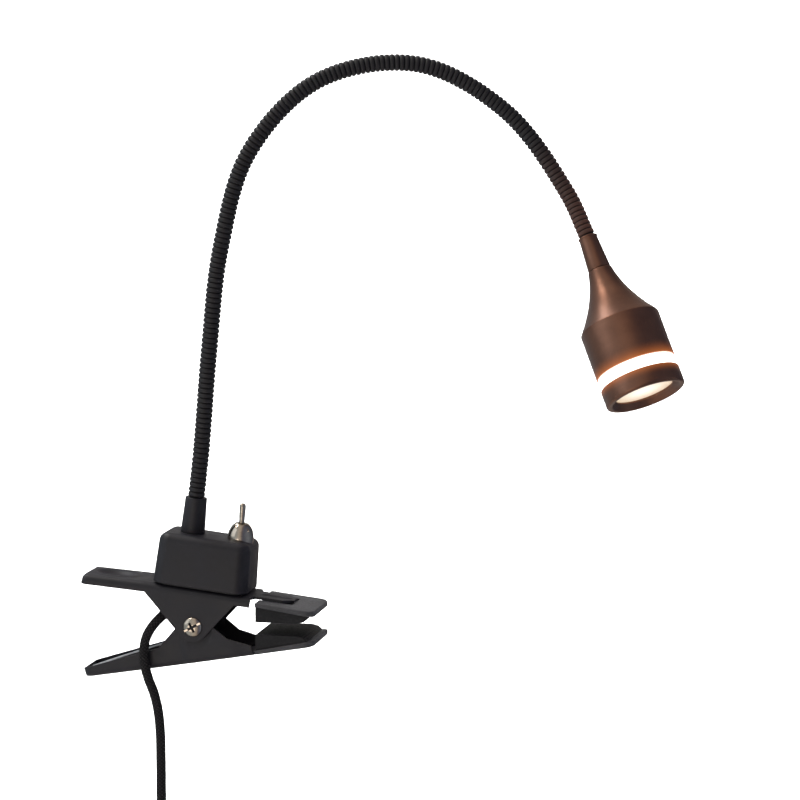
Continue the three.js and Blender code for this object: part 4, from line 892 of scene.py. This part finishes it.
# %% [markdown]
# A lever is one blank of steel, folded down along both sides. It starts as a flat grid:
# its columns are wrapped over the fold, and each row's flange is as deep as the lever's
# side outline says there. Solidify gives the sheet its thickness, and Bevel rounds the cut
# edges so that they catch a thin light.

# %% A folded sheet
FLANGE_ROWS, FOLD_ROWS, PLATE_ROWS = 8, 4, 28


def smooth_step(value, low, high):
    t = min(max((value - low) / (high - low), 0), 1)
    return t * t * (3 - 2 * t)


def section(column, half, rise, bottom):
    """(y, z, out) at one column of a folded section; out says how far it is on a flange."""
    side = -1 if column < 0 else 1
    column = abs(column)
    plate, fold = PLATE_ROWS / 2, PLATE_ROWS / 2 + FOLD_ROWS
    if column <= plate:
        return side * (half - BEND) * column / plate, rise, 0.0
    if column <= fold:
        angle = math.pi / 2 * (column - plate) / FOLD_ROWS
        return (side * (half - BEND + BEND * math.sin(angle)),
                rise - BEND * (1 - math.cos(angle)), 0.0)
    share = (column - fold) / FLANGE_ROWS
    top = rise - BEND
    return side * half, top + (min(bottom, top) - top) * share, share


def folded(name, rows, half_at, bottom_at, shape, place):
    """rows are the stations along X; shape moves a point for embossing. The front has no flange."""
    columns = PLATE_ROWS + 2 * FOLD_ROWS + 2 * FLANGE_ROWS
    bm = bmesh.new()
    bmesh.ops.create_grid(bm, x_segments=len(rows) - 1, y_segments=columns, size=1)
    gone = []
    for vert in bm.verts:
        row = round((vert.co.x + 1) / 2 * (len(rows) - 1))
        column = (vert.co.y * columns) / 2
        x = rows[row]
        y, z, out = section(column, half_at(x), RISE, bottom_at(x))
        vert.co = Vector(shape(x, y, z, out)) * MM
        if x > FRONT + 0.01 and abs(column) > PLATE_ROWS / 2:
            gone.append(vert)
    bmesh.ops.delete(bm, geom=gone, context="VERTS")
    bmesh.ops.dissolve_degenerate(bm, edges=bm.edges, dist=1e-6)
    thicken(bm, SHEET, faces_up)
    made = piece(name, put(bm, place), baked_satin_enamel, 40)
    break_edges(made, 0.22, 2)
    return made


def stations_between(*marks):
    """X stations from mark to mark: each mark is (x, step up to the next mark)."""
    out = []
    for (x, step), (end, _) in zip(marks, marks[1:]):
        count = max(round((end - x) / step), 1)
        out += [x + (end - x) * i / count for i in range(count)]
    return out + [marks[-1][0]]


def ear_bottom(x, radius, left, right, edge):
    """Height of an ear's lower edge: two slants that run into the round at the pivot."""
    best = edge
    for corner, side in ((-left, -1), (right, 1)):
        reach = math.hypot(corner, edge)
        lean = math.atan2(edge, abs(corner)) - math.acos(radius / reach)
        touch = (side * radius * math.cos(lean), radius * math.sin(lean))
        if side * x >= side * touch[0] and side * x <= side * corner:
            share = (x - touch[0]) / (corner - touch[0])
            best = min(best, touch[1] + (edge - touch[1]) * share)
        if side * x >= 0 and side * x < side * touch[0]:
            best = min(best, -math.sqrt(max(radius**2 - x * x, 0)))
    return best


# %% [markdown]
# Both levers taper a little towards the end of their handles, which are closed by the same
# fold as their sides, and narrow to a tongue at the front.

# %% What both levers share
UPPER_END, LOWER_END = -56.1, -57.4  # the handles' ends, inside the turned sheet
END_TURN, FLANGE = 0.9, 3.3  # the turned end's run, and its depth
HANDLE_TAPER, TONGUE_HALF = 0.7, 9.1


def half_width(x, half, end, corner):
    """Half of a lever's width at x; corner rounds the end of its handle."""
    if x > FRONT:
        return TONGUE_HALF + (half - TONGUE_HALF) * (1 - smooth_step(x, FRONT, FRONT + 1.2))
    past = max(0, corner - (x - end))
    taper = HANDLE_TAPER * smooth_step(-x, -FOLD_AT, 57.5)
    return half - taper - (corner - math.sqrt(max(corner**2 - past**2, 0)))


def narrowed(x, y):
    """The tongue's point."""
    return y * (1 - 0.55 * smooth_step(x, 40, TONGUE_END))


def closed_end(x, z, end):
    """Turns the last rows down, so that the handle's end is closed like its sides."""
    down = min(max((end + END_TURN - x) / END_TURN, 0), 1)
    return max(z - FLANGE * down, RISE - FLANGE) if down else z


# %% [markdown]
# The upper lever: an oval thumb dimple is pressed into the handle, the V-shaped ears come down
# to the screw, and at the front the blank narrows to a tongue with a raised ridge, which
# lies on the jaw pad and ends in a soft point.

# %% Upper lever
DIMPLE_AT, DIMPLE_LONG, DIMPLE_WIDE, DIMPLE_DEEP = -43, 9.5, 6.6, 1.3
HANDLE_DROOP = math.tan(math.radians(2))
UPPER_EDGE, UPPER_EAR = 13.2, (7.2, 25, 18.5)  # the ear's round, and its corners


def upper_bottom(x):
    return ear_bottom(x, *UPPER_EAR, UPPER_EDGE)


def upper_shape(x, y, z, out):
    away = math.hypot((x - DIMPLE_AT) / DIMPLE_LONG, y / DIMPLE_WIDE)
    if not out:
        z -= DIMPLE_DEEP * (1 - smooth_step(away, 0.62, 1.05))
        z += 0.4 * smooth_step(away, 0.95, 1.1) * (1 - smooth_step(away, 1.1, 1.35))
    along = smooth_step(x, FRONT + 2.5, FRONT + 4) * (1 - smooth_step(x, 41, 44.5))
    z += 0.55 * along * max(0, math.cos(y / 4.6 * math.pi)) ** 2
    return x, narrowed(x, y), closed_end(x, z, UPPER_END) - max(FOLD_AT - x, 0) * HANDLE_DROOP


upper_rows = stations_between((UPPER_END, 0.25), (-55, 0.8), (-33, 1.0), (-26, 0.5), (-24, 0.8),
                              (-10, 0.4), (10, 0.8), (17, 0.5), (20, 1), (25, 0.3), (26, 0.3),
                              (27.2, 0.6), (45, 1))
upper_lever = folded("upper_lever_pressed", upper_rows,
                     lambda x: half_width(x, 12.3, UPPER_END, 2.5), upper_bottom, upper_shape,
                     UPPER)
stands_for(upper_lever, "clip_upper", "black_paint", "upper_lever")
print("upper lever", len(upper_lever.data.polygons), "faces")

# %% [markdown]
# The lower lever sits inside the upper one. Below the pivot its ears step outwards, which
# shows as a curved crease under the screw. Its flanges run out to a shallow tray that holds
# the spring's leg.

# %% Lower lever
LOWER_ROOT, LOWER_SHALLOW = RISE - 8.4, RISE - 3.4
LOWER_EAR = 5.8, 19, 15  # the ear's round, and its corners


def lower_bottom(x):
    _, left, right = LOWER_EAR
    for corner, end in ((-left, LOWER_END), (right, FRONT)):
        if abs(x) > abs(corner) and x * corner > 0:
            return LOWER_ROOT + (LOWER_SHALLOW - LOWER_ROOT) * (x - corner) / (end - corner)
    return ear_bottom(x, *LOWER_EAR, LOWER_ROOT)


def lower_shape(x, y, z, out):
    step = 0.6 * smooth_step(math.hypot(x, z), 7.6, 9.4) * smooth_step(x, -9, -4)
    step *= 1 - smooth_step(x, 16, 24)
    y += math.copysign(step * smooth_step(abs(y), 8.5, 10), y)
    return x, narrowed(x, y), closed_end(x, z, LOWER_END)


lower_rows = stations_between((LOWER_END, 0.3), (-53.5, 1), (-26, 0.8), (-19, 0.5), (-10, 0.4),
                              (10, 0.5), (15, 0.8), (25, 0.3), (26, 0.3), (27.2, 0.8), (45, 1))
lower_lever = folded("lower_lever_pressed", lower_rows,
                     lambda x: half_width(x, 10.4, LOWER_END, 4), lower_bottom, lower_shape, LOWER)
stands_for(lower_lever, "clip_lower", "black_paint", "lower_lever")
print("lower lever", len(lower_lever.data.polygons), "faces")

# %% [markdown]
# The switch box is a drawn steel cap: tall corners with a larger radius, a softer turn over
# its top, and sides that lean in a little so that it came off its die. It starts as a cube:
# the upright edges are bevelled, then the top ones, and the open foot gets its wall.

# %% Switch box
BOX_LONG, BOX_DEEP, BOX_FOOT, BOX_TOP = 42.4, 24.6, 18.6, 40.4
BOX_AT, BOX_WALL, BOX_DRAFT = 0.6, 1.8, math.radians(2.4)

bm = block((-BOX_LONG / 2, -BOX_DEEP / 2, BOX_FOOT), (BOX_LONG / 2, BOX_DEEP / 2, BOX_TOP))
bevel_all(bm, [e for e in bm.edges if upright(e)], 4.2, 10)
lean = math.tan(BOX_DRAFT) * (BOX_TOP - BOX_FOOT)
top_verts = [v for v in bm.verts if v.co.z > BOX_TOP * MM - 1e-6]
bmesh.ops.scale(bm, vec=(1 - lean / (BOX_LONG / 2), 1 - lean / (BOX_DEEP / 2), 1),
                verts=top_verts)
rim = [e for e in bm.edges if all(v.co.z > BOX_TOP * MM - 1e-6 for v in e.verts)]
bevel_all(bm, rim, 2.2, 8)
bmesh.ops.delete(bm, geom=[f for f in bm.faces if f.normal.z < -0.9], context="FACES")
thicken(bm, BOX_WALL, faces_up)
put(bm, UPPER @ Matrix.Translation((BOX_AT * MM, 0, 0)))
switch_box = piece("switch_box_drawn", bm, baked_satin_enamel, 50)
break_edges(switch_box, 0.3, 3)
stands_for(switch_box, "clip_upper", "black_paint", "switch_housing")
print("switch box", len(switch_box.data.polygons), "faces")

# %% [markdown]
# On the box stand the collar that holds the neck, and the toggle switch with its bell-shaped
# dome nut. The lever swings through the nut's mouth, so it is on a body of its own.

# %% Collar, dome nut and toggle
COLLAR_AT, TOGGLE_AT = -8, 15.3  # along the lever, from the pivot
COLLAR_PLACE = UPPER @ Matrix.Translation((COLLAR_AT * MM, 0, 0))
COLLAR = [(2.4, 35.3), (3.8, 35.3), (3.8, 40.7), (5.8, 40.7), (5.12, 58.3),
          *arc((4.6, 58.6), 0.5, 10, 90, 4), (2.4, 59.1)]
lathe("neck_collar_turned", COLLAR, COLLAR_PLACE, baked_satin_enamel, "clip_upper",
      "black_paint", "neck_collar")

TOGGLE_PLACE = UPPER @ Matrix.Translation((TOGGLE_AT * MM, 0, 41 * MM))
DOME = [(3.3, -0.3), (5.8, -0.3), (6.2, 0.1), (6.2, 2.1),
        *[(6.2 * math.cos(math.radians(a)), 2.1 + 7.8 * math.sin(math.radians(a)))
          for a in range(6, 61, 6)], (2.7, 9.0), (2.4, 8.8), (2.4, 7.2), (3.3, 6.7)]
lathe("dome_nut_turned", DOME, TOGGLE_PLACE, bright_nickel, "clip_upper", "nickel",
      "switch_dome_nut", edge=0.12, steps=72)

TOGGLE_PIVOT, TOGGLE_LEAN = 5, math.radians(10)
LEVER = [(0, -3.4), (0.8, -3.3), (1.0, -3.0), (1.0, -1.9), *arc((0, 0), 2, -60, 48, 9),
         (1.3, 2.0), (1.28, 2.8), (1.55, 12.1), (1.5, 12.9), (1.2, 13.5), (0.75, 13.9), (0, 14)]
LEVER_PLACE = (TOGGLE_PLACE @ Matrix.Translation((0, 0, TOGGLE_PIVOT * MM))
               @ Matrix.Rotation(TOGGLE_LEAN, 4, "X"))
lathe("toggle_lever_turned", LEVER, LEVER_PLACE, bright_nickel, "toggle", "nickel",
      "toggle_lever", closed=False, edge=0, steps=48)
print("toggle made")

# %% [markdown]
# A jaw pad is two mouldings in one: a skin that wraps over the metal tongue and ends in a
# rounded front, and a body under it, set back all round. The skin is painted a lighter grey
# than the body, a painted highlight on the pad's lit top. The skin starts as a block with its
# front corners rounded and is cut by two slanted planes; the body is a side outline pushed out
# sideways.

# %% Cutting and filling
def sliced(bm, point, normal):
    """Removes what lies beyond a plane and closes the cut."""
    geom = bm.verts[:] + bm.edges[:] + bm.faces[:]
    bmesh.ops.bisect_plane(bm, geom=geom, plane_co=Vector(point) * MM, plane_no=normal,
                           clear_outer=True)
    bmesh.ops.holes_fill(bm, edges=[e for e in bm.edges if e.is_boundary])


def cut_by(made, cutters, smooth=35):
    """Takes the cutters' meshes out of an object's mesh."""
    tools = []
    for cutter in cutters:
        mesh = bpy.data.meshes.new("cutter")
        cutter.to_mesh(mesh)
        cutter.free()
        tools.append(bpy.data.objects.new("cutter", mesh))
        bpy.context.scene.collection.objects.link(tools[-1])
        cut = made.modifiers.new("cut", "BOOLEAN")
        cut.object, cut.operation, cut.solver = tools[-1], "DIFFERENCE", "EXACT"
    depsgraph = bpy.context.evaluated_depsgraph_get()
    mesh = bpy.data.meshes.new_from_object(made.evaluated_get(depsgraph))
    made.modifiers.clear()
    made.data = mesh
    mesh.shade_smooth()
    mesh.set_sharp_from_angle(angle=math.radians(smooth))
    for tool in tools:
        bpy.data.objects.remove(tool)
    return made


def side_prism(outline, half):
    """An outline in the XZ plane pushed out to both sides in Y."""
    bm = bmesh.new()
    verts = [bm.verts.new((x * MM, -half * MM, z * MM)) for x, z in outline]
    face = bmesh.ops.contextual_create(bm, geom=verts)["faces"][0]
    grown = bmesh.ops.extrude_face_region(bm, geom=[face])["geom"]
    moved = [g for g in grown if isinstance(g, bmesh.types.BMVert)]
    bmesh.ops.translate(bm, vec=(0, 2 * half * MM, 0), verts=moved)
    bmesh.ops.recalc_face_normals(bm, faces=bm.faces)
    return bm


# %% Jaw pads
PAD_BACK, PAD_FRONT, PAD_HALF, PAD_SKIN = -14, 14, 17, 1.9
PAD_INSET, PAD_LIP = 1.1, 1.2  # the body, set in from the skin's sides and from its top
TONGUE_ROOM = (0, -7.8, RISE - PAD_INSET), (45.3, 7.8, RISE + 20)
DROP = Matrix.Translation((0, 0, -6 * MM)) @ Matrix.Rotation(math.pi, 4, "X")


def jaw_pad(name, cad, body, rise, pitch, place, lever):
    """A pad's skin and body; rise is the skin's height over the origin, pitch its slant."""
    slope = -math.tan(pitch)

    def top(x):
        return rise + slope * x

    skin = block((PAD_BACK, -PAD_HALF, -1), (PAD_FRONT, PAD_HALF, 14))
    bevel_all(skin, [e for e in skin.edges if upright(e) and e.verts[0].co.x > 0], 4.5, 8)
    sliced(skin, (0, 0, top(0)), Vector((-slope, 0, 1)).normalized())
    under = slope - 0.035
    sliced(skin, (PAD_BACK, 0, top(PAD_BACK) - PAD_SKIN), Vector((under, 0, -1)).normalized())
    free = [e for e in sharp_edges(skin) if max(v.co.x for v in e.verts) > -13.9 * MM]
    bevel_all(skin, free, 0.85, 4)
    outline = [(PAD_BACK, 0), (6, 0), (9.25, 0.9), (11.2, 2.6), (11.9, top(12.5) - 2.1),
               (11.5, top(11.5) - PAD_LIP), (PAD_BACK, top(PAD_BACK) - PAD_LIP)]
    core = side_prism(outline, PAD_HALF - PAD_INSET)
    across = [e for e in sharp_edges(core, 20)
              if abs(e.verts[0].co.y - e.verts[1].co.y) < 1e-6
              and min(v.co.z for v in e.verts) > 0.6 * MM]
    bevel_all(core, across, 0.6, 3)
    # the skin's lighter grey is a painted highlight; the body keeps the black PVC
    skin = piece(name + "_skin", put(skin, place), soft_pvc, 45)
    core = piece(name + "_body", put(core, place), soft_pvc_core, 40)
    for part in (skin, core):
        cut_by(part, [block(*TONGUE_ROOM, lever)])
        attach(part, body)
    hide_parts(cad)


jaw_pad("upper_pad", "upper_jaw_pad", "clip_upper", 7.48, UPPER_PITCH, Matrix.Identity(4), UPPER)
jaw_pad("lower_pad", "lower_jaw_pad", "clip_lower", 6.972, LOWER_PITCH, DROP, LOWER)
print("jaw pads made")

# %% [markdown]
# The pivot is a pan-head machine screw with a combined slot and cross, a washer and a nut.
# The recess is cut out of the turned head.

# %% Pivot screw
PIVOT_TURN = UPPER @ Matrix.Rotation(math.pi / 2, 4, "X")  # the turning axis runs to -Y
SEAT, CROWN = 12.6, 15.3
SCREW = [(0, -19.1), (1.6, -19.1), (2.0, -18.5), (2.0, SEAT), (4.6, SEAT), (4.8, SEAT + 0.4),
         (4.72, SEAT + 1.0), (4.35, SEAT + 1.65), (3.6, SEAT + 2.2), (2.5, SEAT + 2.55),
         (1.2, CROWN - 0.03), (0, CROWN)]
pivot_screw = lathe("pan_head_screw", SCREW, PIVOT_TURN, bright_nickel, "clip_upper", "nickel",
                    "pivot_screw", closed=False, edge=0, steps=64)
recess = []
for angle, reach, half, depth in ((35, 5.2, 0.45, 1.1), (35, 2.5, 0.6, 1.9), (125, 2.5, 0.6, 1.9)):
    spin = PIVOT_TURN @ Matrix.Rotation(math.radians(angle), 4, "Z")
    recess.append(block((-reach, -half, CROWN - depth), (reach, half, CROWN + 1), spin))
cut_by(pivot_screw, recess, 30)
break_edges(pivot_screw, 0.08, 2, 40)
print("screw", len(pivot_screw.data.polygons), "faces")

# %% [markdown]
# The small parts that came straight from the frame only lack broken edges, so a merged
# copy of each is bevelled.

# %% Small parts with broken edges
def softened(node, width, material, slot):
    """A merged copy of a frame part with its edges broken."""
    source = bpy.data.objects[node]
    bm = bmesh.new()
    bm.from_mesh(source.data)
    put(bm, source.matrix_world)
    bmesh.ops.remove_doubles(bm, verts=bm.verts, dist=1e-6)
    bmesh.ops.dissolve_limit(bm, angle_limit=math.radians(1), verts=bm.verts, edges=bm.edges)
    bevel_all(bm, sharp_edges(bm, 40), width, 2)
    made = piece(node + "_finished", bm, material, 35)
    return stands_for(made, body_of(source)[0], slot, node)


for node in ("pivot_washer", "pivot_nut", "pivot_spacer"):
    softened(node, 0.2, zinc_plate, "steel")
softened("housing_base", 0.25, eroded_plastic, "hard_black")
print("small parts made")

# %% [markdown]
# The spring is round wire, 1.6 mm thick: a leg along the inside of one handle, five and a
# half turns round the pivot, and a leg along the other. When the clip opens, a torsion spring
# takes the turn evenly over its coils, so the piece blends between the levers along Y.

# %% Torsion spring
WIRE, COIL, COIL_PITCH, COIL_TURNS, LEG_REACH, LEG_AT = 0.8, 5, 2, 5.5, 54, 14.2
COIL_HALF = COIL_TURNS * COIL_PITCH / 2
spring_points = [LOWER_SIDE @ (Vector((-x, -COIL_HALF, -z)) * MM) for x, z in
                 ((LEG_REACH, LEG_AT - 0.6), (LEG_REACH * 0.62, LEG_AT - 4.3),
                  (LEG_REACH * 0.3, LEG_AT * 0.5))]
for i in range(int(COIL_TURNS * 8) + 1):
    angle = -math.pi / 2 + i * math.pi / 4
    y = -COIL_HALF + COIL_PITCH * i / 8
    spring_points.append(UPPER @ (Vector((COIL * math.cos(angle), y, COIL * math.sin(angle))) * MM))
droop = (LEG_REACH + FOLD_AT) * HANDLE_DROOP
spring_points += [UPPER @ (Vector((-x, COIL_HALF, z)) * MM) for x, z in
                  ((LEG_REACH * 0.3, LEG_AT * 0.58), (LEG_REACH * 0.62, LEG_AT - droop - 1.8),
                   (LEG_REACH, LEG_AT - droop))]
spring_line = [through(spring_points, i / 560) for i in range(561)]
clamp_spring = piece("torsion_spring_wire", sweep(spring_line, [WIRE * MM] * 561, 12),
                     zinc_plate, 50)
middle, coils_end = PIVOT.translation, Vector((0, 4.6 * MM, 0))
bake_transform(clamp_spring, "clip_upper", "clip_lower", start=tuple(middle + coils_end),
         end=tuple(middle - coils_end))
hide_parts("clamp_spring")
print("spring wire", round(run_of(spring_line)[-1], 4), "m")

# %% [markdown]
# Where the lead leaves the lever it runs through a soft tapered strain relief, 20 mm long,
# that grips the hole's edge with a flange and thins down almost to the cord. The same is
# done at the plug, where the relief is longer and has the usual slots, so that it bends.

# %% Strain relief at the clip
HOLE_AT = -13.2, -5.2  # in the lever's plate
relief_line = [UPPER @ (Vector((*HOLE_AT, z)) * MM) for z in (20.2, 19.2, 17, 14, 11.5)]
relief_line += [p for p, r in zip(free_stretch, run_of(free_stretch)) if r < 10 * MM]
relief_line = evenly(relief_line, 0.5 * MM)
relief_run = run_of(relief_line)
relief_radii = [(3.9 if r < 1 * MM else 3.0 - 0.45 * (r / relief_run[-1])) * MM for r in relief_run]
relief_radii[-2], relief_radii[-1] = relief_radii[-1] * 0.99, 2.42 * MM
clip_relief = piece("clip_strain_relief", sweep(relief_line, relief_radii, 24), eroded_plastic, 40)
stands_for(clip_relief, "clip_upper", "hard_black", "cord_grommet")
print("strain relief", round(relief_run[-1] / MM, 1), "mm")

# %% [markdown]
# The plug has a rounded body with five grips moulded into each side, and two stamped blades,
# each with a hole near its tip.

# %% Plug
PLUG = Matrix.Translation((HANK_CENTRE.x - HANK_TURNS[0], HANK_ROWS_Y[1], PLUG_TOP))
PLUG_FOOT, GRIP_PITCH, BLADE_AT = -66.3, 3.2, 6.35
RELIEF_SLOTS, SLOT_PITCH, SLOT_DEPTH = 8, 2.6, 0.7


def relief_radius(down):
    return 2.6 + 1.75 * (down / 26) ** 1.2


RELIEF = [(2.42, 0), (2.6, -0.3)]
for i in range(RELIEF_SLOTS):
    z = 2.4 + SLOT_PITCH * i
    bottom = relief_radius(z) - SLOT_DEPTH
    RELIEF += [(relief_radius(z), -z), (bottom, -z - 0.15), (bottom, -z - 1.15),
               (relief_radius(z + 1.3), -z - 1.3)]
RELIEF += [(relief_radius(24.2), -24.2), (4.6, -26), (0, -26)]
lathe("plug_relief_ribbed", [(0, 0), *RELIEF], PLUG, soft_pvc_core, "clip_upper", "soft_black",
      "plug_strain_relief", closed=False, edge=0.08, steps=48)

bm = block((-15, -12, PLUG_FOOT), (15, 12, -26.3))
bevel_all(bm, [e for e in bm.edges if upright(e)], 4.8, 8)
bevel_all(bm, sharp_edges(bm, 50), 1.5, 5)
plug_body = piece("plug_body_moulded", put(bm, PLUG), eroded_plastic, 40)
grips = []
for side in (-1, 1):
    for i in range(5):
        z = -34 - GRIP_PITCH * i
        grips.append(block((-9, side * 12.6 - 1.2, z - 0.7), (9, side * 12.6 + 1.2, z + 0.7), PLUG))
cut_by(plug_body, grips, 40)
stands_for(plug_body, "clip_upper", "hard_black", "plug_body")

for i, x in enumerate((-BLADE_AT, BLADE_AT)):
    bm = block((x - 0.75, -3.15, -82.6), (x + 0.75, 3.15, PLUG_FOOT - 0.3))
    bevel_all(bm, [e for e in bm.edges if all(v.co.z < -82 * MM for v in e.verts)], 0.6, 3)
    blade = piece(f"plug_blade_{i + 1}_stamped", put(bm, PLUG), bright_nickel, 40)
    hole = bmesh.new()
    across = Matrix.Translation((x * MM, 0, -79.2 * MM)) @ Matrix.Rotation(math.pi / 2, 4, "Y")
    bmesh.ops.create_cone(hole, cap_ends=True, segments=24, radius1=1.5 * MM, radius2=1.5 * MM,
                          depth=6 * MM, matrix=PLUG @ across)
    cut_by(blade, [hole])
    stands_for(blade, "clip_upper", "nickel", f"plug_blade_{i + 1}")
print("plug made")

# %% [markdown]
# A soft strap with a rounded loose end holds the hank together. It is a flat band wrapped
# round the folds, so it starts as a block's four sides with rounded corners and gets its
# thickness afterwards.

# %% Hank tie
TIE_PLACE = Matrix.Translation((HANK_CENTRE.x, sum(HANK_ROWS_Y) / 2, HANK_CENTRE.z))
bm = block((-27.2, -6.3, -4.5), (27.2, 6.3, 4.5))
bevel_all(bm, [e for e in bm.edges if upright(e)], 1.6, 6)
bmesh.ops.delete(bm, geom=[f for f in bm.faces if abs(f.normal.z) > 0.9], context="FACES")
thicken(bm, 1.1, lambda f: f.normal.dot(f.calc_center_median()))
bevel_all(bm, sharp_edges(bm, 50), 0.25, 3)
tie = piece("hank_strap", put(bm, TIE_PLACE), soft_pvc_core, 40)
stands_for(tie, "clip_upper", "soft_black", "hank_tie")
print("tie made")

# %% [markdown]

# %% The cord and its pieces
print("cord made with its relief, plug and tie")

# %% [markdown]
# What is inside stays as the frame has it: the driver board and its leads, the switch under
# the dome nut, and in the head the heat sink, the LED on its board, and the reflector.
# Each takes the finish of what it is made of.

# %% Finishes of the inner parts
INNER = {
    zinc_plate: ["housing_screw_", "board_screw_", "collar_nut"],
    bright_nickel: ["switch_bushing"],
    red_plastic: ["switch_body", "supply_lead", "switch_lead", "head_lead_1"],
    bare_brass: ["switch_terminal_", "sleeve_nut"],
    board_laminate: ["driver_board"],
    lead_skin: ["lamp_lead", "head_lead_2"],
    cast_aluminium: ["heat_sink"],
    white_reflector: ["led_board", "reflector"],
    lit_lens: ["led_emitter"],
}
finished = 0
for material, starts in INNER.items():
    for node in list(bpy.data.objects):
        if any(node.name.startswith(start) for start in starts):
            node.data.materials.clear()
            node.data.materials.append(material)
            finished += 1
print("inner parts finished:", finished)
